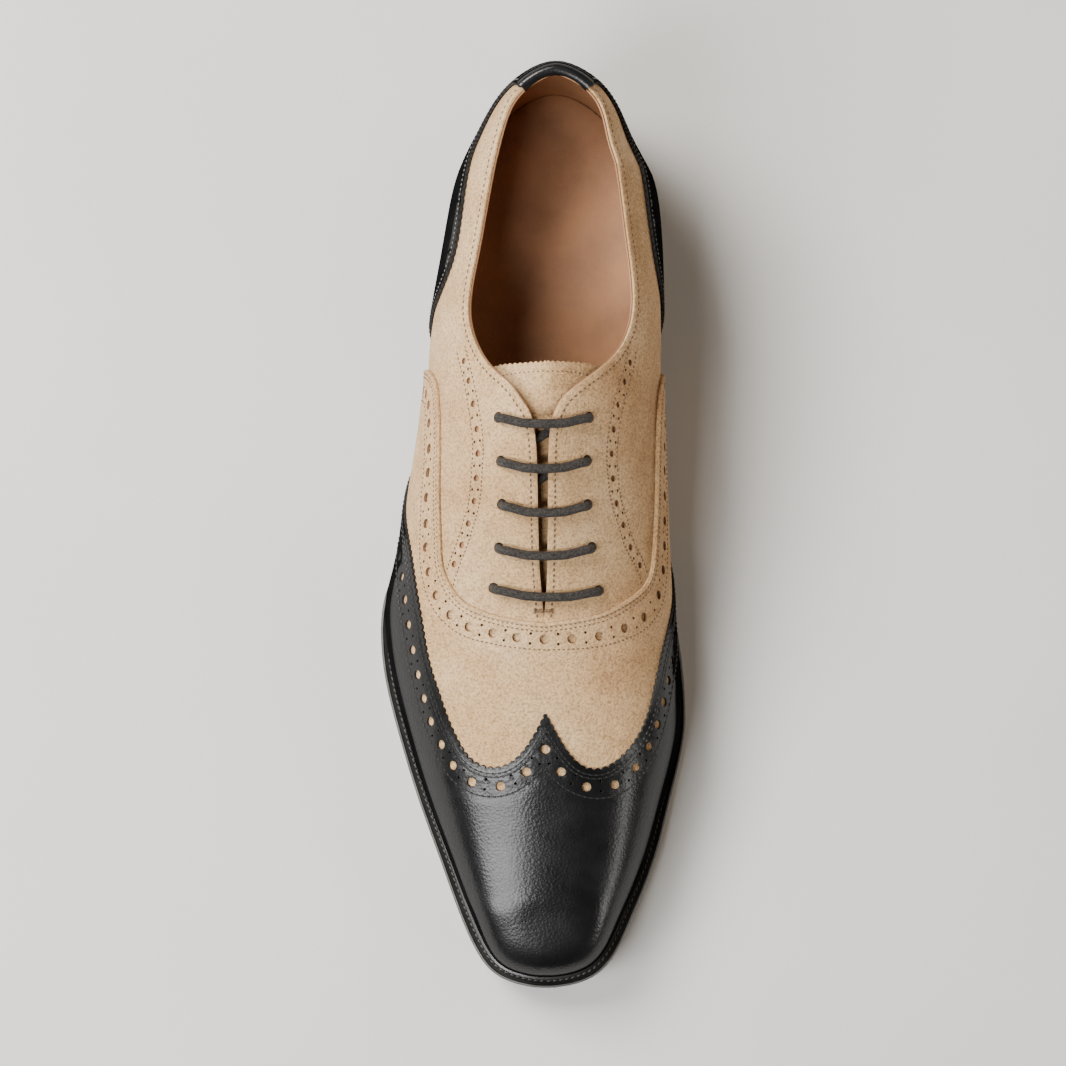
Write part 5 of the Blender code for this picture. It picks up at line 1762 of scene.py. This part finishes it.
    def build_stitches(self) -> None:
        """Every stitch row of the upper: on suede, on calf and the counter's pale row."""
        net, f = self.net, self.finishes
        on_suede, on_calf, pale = Stitching(), Stitching(), Stitching()
        beyond_vamp = np.concatenate([net.vamp, [net.vamp[-1] + [0.1, -0.4], net.vamp[0] + [-0.1, -0.4]]])

        def behind_vamp(line: np.ndarray) -> np.ndarray:
            """The part of a quarter's row that the vamp doesn't cover."""
            fine = even_line(line, STITCH_STEP)
            return self.shown(fine, ~inside(fine, beyond_vamp))
        for line in net.rows_at["vamp"] + net.rows_at["vamp_low"]:
            on_suede.row(*self.on_face(line, self.vamp_high), self.common, hole_slot=None)
        for name, style in (("facing", self.common), ("collar", self.long)):
            for line in net.rows_at[name]:
                on_suede.row(*self.on_face(behind_vamp(line), 0.0), style, hole_slot=None)
        for line in net.rows_at["wing"] + net.rows_at["wing_low"]:
            on_calf.row(*self.on_face(line, self.wing_high), self.heavy)
        for line in net.rows_at["counter"]:
            pale.row(*self.on_face(line, self.counter_high), self.common)
        top = np.array(((1.700, 0.300), (1.708, 0.180), (1.708, 0.000)))
        seam = np.concatenate([net.last.chart(top[:, 0], top[:, 1], Side.OUTER),
                               net.last.chart(top[-2::-1, 0], top[-2::-1, 1], Side.INNER)])
        on_suede.row(*self.on_face(smooth_line(seam, 60), self.tongue_drop), self.common, hole_slot=None)
        self.bar_tack(on_suede)
        publish("stitches_suede", on_suede.mesh(), (f.suede_thread,))
        publish("stitches_calf", on_calf.mesh(), (f.black_thread, f.needle_shade))
        publish("stitches_counter", pale.mesh(), (f.grey_thread, f.needle_shade))

    def bar_tack(self, rows: Stitching) -> None:
        """The tack across the foot of the slit: two long strands and a stop at each end.

        Args:
            rows: the stitching that it joins.
        """
        last = self.net.last
        for walk in self.tack_walks:
            ends = np.stack([last.chart(np.array(walk), np.array(self.tack_share), side) for side in Side])
            centre = ends.mean(0)[None]
            middle = last.place(centre, 0.25 * MM)
            a, b = last.place(ends, 0.2 * MM)
            up = unit(last.place(centre, MM) - last.place(centre, 0.0))
            ahead = unit((b - a)[None])
            rows.lay(middle, ahead, up, (np.linalg.norm(b - a) / 2, 0.16 * MM, 0.18 * MM), 0)
            for end in (a, b):
                rows.lay(end[None], np.cross(up, ahead), up, (0.7 * MM, 0.18 * MM, 0.2 * MM), 0)


@dataclass
class Lace:
    """The waxed round cord in five straight bars, with its hidden runs."""
    last: Last
    finishes: Finishes
    radius: float = 1.52 * MM
    under_gap: float = 0.16 * MM
    back: float = 0.25
    landing: float = 2.0
    under_share: float = 0.6
    shoulder: float = 0.82
    shoulder_place: float = 0.45
    hidden_out: float = 0.055
    sides: int = 18
    step: float = 0.45 * MM

    def route(self) -> list[tuple[np.ndarray, float]]:
        """The stops of the cord's centre line: flat place and lift."""
        radius = self.radius
        over = radius + SIZES.lace_gap
        under = -(SIZES.wall + self.under_gap + radius)
        holes = {}
        for side, table in zip(Side, (Seams.LACE_OUTER, Seams.LACE_INNER)):
            for row, flat in enumerate(self.last.chart(*np.array(table).T, side)):
                holes[int(side), row] = flat
        route: list[tuple[np.ndarray, float]] = []

        def stop(flat: np.ndarray, lift: float) -> None:
            """One stop of the route."""
            route.append((np.array(flat, float), lift))

        def bar(row: int, start: int) -> None:
            """A bar over the facings.

            Args:
                row: the row of the two holes.
                start: the side that it starts on.
            """
            a, b = holes[start, row], holes[-start, row]
            ahead = (b - a) / np.linalg.norm(b - a)
            reach = ahead * self.landing * radius
            sag = np.array([0.0, -SIZES.lace_sag])
            stop(a - ahead * self.back * radius, -SIZES.wall / 2)
            stop(a + reach * self.shoulder_place, over * self.shoulder)
            stop(a + reach, over)
            for part in (0.3, 0.5, 0.7):
                stop(a + (b - a) * part + sag * 2 * part * (1 - part), over)
            stop(b - reach, over)
            stop(b - reach * self.shoulder_place, over * self.shoulder)
            stop(b + ahead * self.back * radius, -SIZES.wall / 2)

        def hidden(a: np.ndarray, b: np.ndarray) -> None:
            """A run under the facings.

            Args:
                a, b: the holes that it leaves and reaches.
            """
            leave = (b - a) / np.linalg.norm(b - a) * self.under_share * radius
            stop(a + leave, under * self.shoulder)
            for part in (0.25, 0.5, 0.75):
                stop(a + (b - a) * part, under)
            stop(b - leave, under * self.shoulder)
        stop(holes[-1, 0], under)
        starts = (-1, -1, -1, 1, -1)
        for row, start in enumerate(starts):
            bar(row, start)
            if row + 1 < len(starts):
                hidden(holes[-start, row], holes[starts[row + 1], row + 1])
        stop(holes[1, 4] + np.array([self.under_share * radius, 0.0]), under * self.shoulder)
        for row in (4, 3, 2, 1, 0):
            walk, share = Seams.LACE_INNER[row]
            flat = self.last.chart(np.array(walk), np.array(share + self.hidden_out), 1)
            stop(flat + np.array([0.0, radius]), under)
        return route

    def build(self) -> None:
        """Sweeps the cord along its route."""
        stops = np.concatenate([self.last.place(flat[None], lift) for flat, lift in self.route()])
        fine = even_line(stops, self.step)
        kernel = np.array([1.0, 2.0, 3.0, 2.0, 1.0]) / 9
        for _ in range(2):
            padded = np.concatenate([fine[:1]] * 2 + [fine] + [fine[-1:]] * 2)
            fine = np.stack([np.convolve(padded[:, c], kernel, "valid") for c in range(3)], 1)
        ahead = unit(np.gradient(fine, axis=0))
        normal = np.cross(ahead[0], (0.0, 0.0, 1.0))
        angle = np.arange(self.sides) / self.sides * 2 * math.pi
        rings = []
        for point, way in zip(fine, ahead):
            normal = unit(normal - way * np.dot(normal, way))
            other = np.cross(way, normal)
            ring = np.cos(angle)[:, None] * normal + np.sin(angle)[:, None] * other
            rings.append(point + ring * self.radius)
        n = self.sides
        faces = tube_faces(len(rings), n)
        piece = publish("waxed_lace", (np.concatenate(rings), faces, [0] * len(faces)),
                        (self.finishes.cord,), ["lace"], sharp=80.0)
        layer = piece.data.uv_layers.new(name="cord")
        around = 2 * math.pi * self.radius
        for polygon in piece.data.polygons:
            for corner, loop in enumerate(polygon.loop_indices):
                vertex = piece.data.loops[loop].vertex_index
                ring, s = divmod(vertex, n)
                wrap = n if s == 0 and corner in (1, 2) else s
                layer.data[loop].uv = (wrap / n * around / MM, ring * self.step / MM)


@dataclass
class Bottom:
    """Everything under the upper: outsole, stitched welt, insole and the stacked heel."""
    shape: SoleShape
    finishes: Finishes
    rows: int = 170
    heel_rows: int = 240
    breast_nodes: int = 40
    heel_nodes: int = 220
    lifts: int = 3
    heel_round: float = 0.25 * MM
    # the strip between two levels of the welt that is its rim, finished light grey as a painted highlight
    rim_strip: int = 4
    stitch: StitchStyle = StitchStyle(1.6 * MM, 2.05 * MM, 0.62 * MM, 0.50 * MM, 0.25)

    def plate(self, levels: Sequence[np.ndarray], ring: bool = False) -> Mesh:
        """A closed piece through loops of rows, one for each level.

        Args:
            levels: the loops, from the bottom to the top.
            ring: whether the last level joins the first one and the middle stays open.

        Returns:
            Points, faces and finishes.
        """
        count = len(levels[0])
        faces = []
        pairs = list(zip(range(len(levels) - 1), range(1, len(levels))))
        if ring:
            pairs.append((len(levels) - 1, 0))
        for low, high in pairs:
            for k in range(count):
                after = (k + 1) % count
                faces.append((low * count + k, low * count + after, high * count + after, high * count + k))
        if not ring:
            for level, flip in ((0, True), (len(levels) - 1, False)):
                for k in range(count // 2):
                    quad = (k, k + 1, (count - k - 1) % count, (count - k) % count)
                    face = tuple(dict.fromkeys(level * count + corner for corner in quad))
                    faces.append(face[::-1] if flip else face)
        return np.concatenate(levels), faces, [0] * len(faces)

    def loop(self, line: np.ndarray, inset: Union[float, np.ndarray], face: Height,
             rise: float = 0.0) -> np.ndarray:
        """A loop at an inset from a line, over a face.

        Args:
            line: the line that the inset counts from.
            inset: how far in, for the whole line or for each of its points.
            face: the face's height at each y.
            rise: how far the loop lies over the face.

        Returns:
            The loop's points.
        """
        flat = self.shape.rows(self.shape.offset(line, inset), self.rows)
        return np.concatenate([flat, (face(flat[:, 1]) + rise)[:, None]], 1)

    def build(self) -> None:
        """Builds every piece of the bottom."""
        self.build_outsole()
        self.build_welt()
        self.build_insole()
        self.build_heel()

    def build_outsole(self) -> None:
        """The outsole, its edges rounded and its stitch channel pressed in underneath."""
        low, top = SIZES.bottom_z, SIZES.outsole_top
        # inset in mm, the face it counts from, and the rise over it in mm
        profile = (
            (6.6, low, 0.0), (6.2, low, 0.25), (5.6, low, 0.25), (5.2, low, 0.0), (0.8, low, 0.0),
            (0.3, low, 0.22), (0.05, low, 0.75), (0.0, low, 2.0), (0.0, top, -0.5), (0.25, top, -0.1),
            (0.6, top, 0.0),
        )
        levels = [self.loop(self.shape.outline, inset * MM, face, rise * MM) for inset, face, rise in profile]
        publish("leather_outsole", self.plate(levels), (self.finishes.edge,), ["outsole"])

    def build_welt(self) -> None:
        """The welt: a raised rim, a stitch channel and the stitches in it."""
        edge, feather, reach = self.shape.outline, self.shape.feather(), self.shape.reach()

        def low(y: np.ndarray) -> np.ndarray:
            """Height of the welt's underside."""
            return SIZES.outsole_top(y) + SIZES.gap * 0.4
        top = SIZES.welt_top
        # inset in mm, the most it may be as a share of the reach, the face it counts from, and the rise in mm
        profile = (
            (0.3, 1.0, low, 0.0), (0.0, 1.0, low, 0.4), (0.0, 1.0, top, -0.9), (0.10, 1.0, top, -0.42),
            (0.36, 1.0, top, -0.07), (0.76, 1.0, top, 0.0), (0.95, 1.0, top, -0.09), (1.15, 0.3, top, -0.38),
            (1.6, 0.4, top, -0.40), (2.1, 0.5, top, -0.62), (2.8, 0.6, top, -0.62), (3.3, 0.7, top, -0.30),
        )
        levels = [self.loop(edge, np.minimum(inset * MM, reach * share), face, rise * MM)
                  for inset, share, face, rise in profile]
        levels += [self.loop(feather, 0.0, top), self.loop(feather, SIZES.welt_ring, top),
                   self.loop(feather, SIZES.welt_ring, low)]
        points, faces, slots = self.plate(levels, ring=True)
        count = len(levels[0])
        # The rim strip takes the light grey finish, a painted highlight along the welt's edge
        slots[self.rim_strip * count:(self.rim_strip + 1) * count] = [1] * count
        publish("stitched_welt", (points, faces, slots), (self.finishes.edge, self.finishes.rim),
                ["welt"])
        rows = Stitching()
        line = self.shape.offset(edge, np.minimum(2.45 * MM, reach * 0.55))
        line = np.roll(line, -int(np.argmin(line[:, 1])), axis=0)
        front = line[:, 1] < float(SIZES.along_y(0.26))
        heel = int(np.argmax(line[:, 1]))
        for part in (line[:heel][front[:heel]], line[heel:][front[heel:]]):
            place = np.concatenate([part, (SIZES.welt_top(part[:, 1]) - 0.45 * MM)[:, None]], 1)
            place = even_line(place, STITCH_STEP)
            rows.row(place, np.tile((0.0, 0.0, 1.0), (len(place), 1)), self.stitch)
        threads = (self.finishes.welt_thread, self.finishes.needle_shade)
        publish("stitches_welt", rows.mesh(), threads)

    def build_insole(self) -> None:
        """The insole with its sock, soft at the edges and a little dished."""
        feather = self.shape.feather()
        wall = SIZES.wall + 2 * SIZES.gap
        ring = SIZES.welt_ring + SIZES.gap

        def low(y: np.ndarray) -> np.ndarray:
            """Height of its underside."""
            return SIZES.outsole_top(y) + SIZES.gap

        def face(y: np.ndarray) -> np.ndarray:
            """Height of its face."""
            return SIZES.feather_z(y) + SIZES.insole_thick
        # inset beyond the upper's wall and rise over the face, in mm
        profile = ((-0.4, -0.8), (-0.5, -0.1), (0.3, 0.10), (4.0, -0.05), (9.0, -0.4), (14.0, -0.7))
        levels = [self.loop(feather, ring, low), self.loop(feather, ring, SIZES.feather_z),
                  self.loop(feather, wall, SIZES.feather_z)]
        levels += [self.loop(feather, wall + inset * MM, face, rise * MM) for inset, rise in profile]
        publish("leather_insole", self.plate(levels), (self.finishes.lining,), ["insole"])

    def heel_loop(self, inset: float, z: float) -> np.ndarray:
        """The heel's outline at a height: round the back, and a hollowed breast at the front.

        Args:
            inset: how far in from the sole's outline.
            z: the height.

        Returns:
            The closed outline's points.
        """
        line = self.shape.rows(self.shape.offset(self.shape.outline, inset), self.heel_rows)
        breast = float(SIZES.along_y(SIZES.heel_breast))
        back = line[line[:, 1] > breast]
        crown = back[np.argmax(back[:, 1]), 0]
        left, right = back[back[:, 0] < crown], back[back[:, 0] >= crown]
        left = left[np.argsort(left[:, 1])]
        right = right[np.argsort(-right[:, 1])]
        arc = np.concatenate([left, right])
        start, end = arc[-1], arc[0]
        across = np.linspace(0, 1, self.breast_nodes + 2)[1:-1]
        hollow = np.stack([start[0] + (end[0] - start[0]) * across,
                           breast + SIZES.breast_hollow * 4 * across * (1 - across)], 1)
        loop = resample(np.concatenate([arc, hollow, arc[:1]]), self.heel_nodes, endpoint=False)
        return np.concatenate([loop, np.full((len(loop), 1), z)], 1)

    def build_heel(self) -> None:
        """The stacked heel: three leather lifts and the rubber top piece, their edges just broken."""
        total = SIZES.heel_height - SIZES.top_piece_thick - SIZES.gap * (self.lifts + 1)
        thick = total / self.lifts
        rubber, leather = self.finishes.rubber, self.finishes.edge
        layers = [("rubber_top_piece", 0.0, SIZES.top_piece_thick, "heel_top_piece", rubber, Slot.RUBBER)]
        floor = SIZES.top_piece_thick + SIZES.gap
        for k in range(1, self.lifts + 1):
            layers.append((f"leather_lift_{k}", floor, floor + thick, f"heel_lift_{k}", leather, Slot.EDGE))
            floor += thick + SIZES.gap
        off = self.heel_round
        for name, low, high, node, finish, slot in layers:
            levels = []
            for z, extra in ((low, off), (low + off, 0.0), (high - off, 0.0), (high, off)):
                inset = SIZES.heel_inset + SIZES.heel_taper * (1 - z / SIZES.heel_height)
                levels.append(self.heel_loop(inset + extra, z))
            faces = tube_faces(len(levels), len(levels[0]))
            publish(name, (np.concatenate(levels), faces, [0] * len(faces)), (finish,), [node])


@dataclass
class Studio:
    """Pale floor, soft lights and the camera of the photograph."""
    target: tuple[float, float, float] = (0.0, 0.00075, 0.030)
    distance: float = 1.3
    elevation: float = 86.0
    lens: float = 129.5
    floor_half: float = 4.0

    def build(self) -> None:
        """Builds the floor, the lights and the camera."""
        self.build_floor()
        self.light("key", (-0.72, 0.60, 1.10), 0.70, 0.70, 37.0, (1.0, 0.965, 0.92))
        self.light("toe_box", (-0.67, -0.50, 1.00), 0.98, 0.40, 22.0, (1.0, 1.0, 1.0))
        self.light("ridge", (1.00, -0.64, 0.52), 0.13, 0.46, 2.3, (1.0, 0.99, 0.95))
        self.light("warm_side", (0.90, 0.35, 0.80), 0.60, 0.60, 3.0, (1.0, 0.72, 0.45))
        world = bpy.data.worlds.new("studio")
        world.use_nodes = True
        back = world.node_tree.nodes["Background"]
        back.inputs["Color"].default_value = (0.92, 0.95, 1.0, 1.0)
        back.inputs["Strength"].default_value = 0.05
        bpy.context.scene.world = world
        self.build_camera()

    def build_floor(self) -> None:
        """The floor that the shoe stands on."""
        half = self.floor_half
        mesh = bpy.data.meshes.new("studio_floor")
        corners = [(-half, -half, 0), (half, -half, 0), (half, half, 0), (-half, half, 0)]
        mesh.from_pydata(corners, [], [(0, 1, 2, 3)])
        mesh.materials.append(PaleFloor().make())
        floor = bpy.data.objects.new("studio_floor", mesh)
        bpy.context.scene.collection.objects.link(floor)

    def light(self, name: str, place: Sequence[float], width: float, height: float, power: float,
              colour: Sequence[float]) -> None:
        """A soft box turned toward the shoe, its width kept along X.

        Args:
            name: its name.
            place: where it hangs.
            width: its width.
            height: its height.
            power: watts.
            colour: its colour.
        """
        data = bpy.data.lights.new(name, "AREA")
        data.shape = "RECTANGLE"
        data.size, data.size_y = width, height
        data.energy = power
        data.color = colour
        lamp = bpy.data.objects.new(name, data)
        lamp.location = place
        back = (Vector(place) - Vector(self.target)).normalized()
        across = (Vector((1.0, 0.0, 0.0)) - back * back.x).normalized()
        turn = Matrix((across, back.cross(across), back)).transposed()
        lamp.rotation_euler = turn.to_euler()
        bpy.context.scene.collection.objects.link(lamp)

    def build_camera(self) -> None:
        """The camera, over the toe side and looking almost straight down, the heel up in the frame."""
        angle = math.radians(self.elevation)
        back = Vector((0.0, -math.cos(angle), math.sin(angle)))
        data = bpy.data.cameras.new("camera")
        data.lens = self.lens
        data.sensor_width = 36.0
        camera = bpy.data.objects.new("camera", data)
        camera.location = Vector(self.target) + back * self.distance
        camera.rotation_euler = (math.pi / 2 - angle, 0.0, 0.0)
        bpy.context.scene.collection.objects.link(camera)
        bpy.context.scene.camera = camera


def main() -> None:
    """Builds the shoe's pieces in order, then the studio."""
    logging.basicConfig(level=logging.INFO, format="%(message)s")
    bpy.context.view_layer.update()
    Studio().build()
    finishes = Finishes()
    shape = SoleShape()
    last = Last(shape)
    net = Net(last)
    Upper(net, finishes).build()
    Lace(last, finishes).build()
    Bottom(shape, finishes).build()


if __name__ == "__main__":
    main()
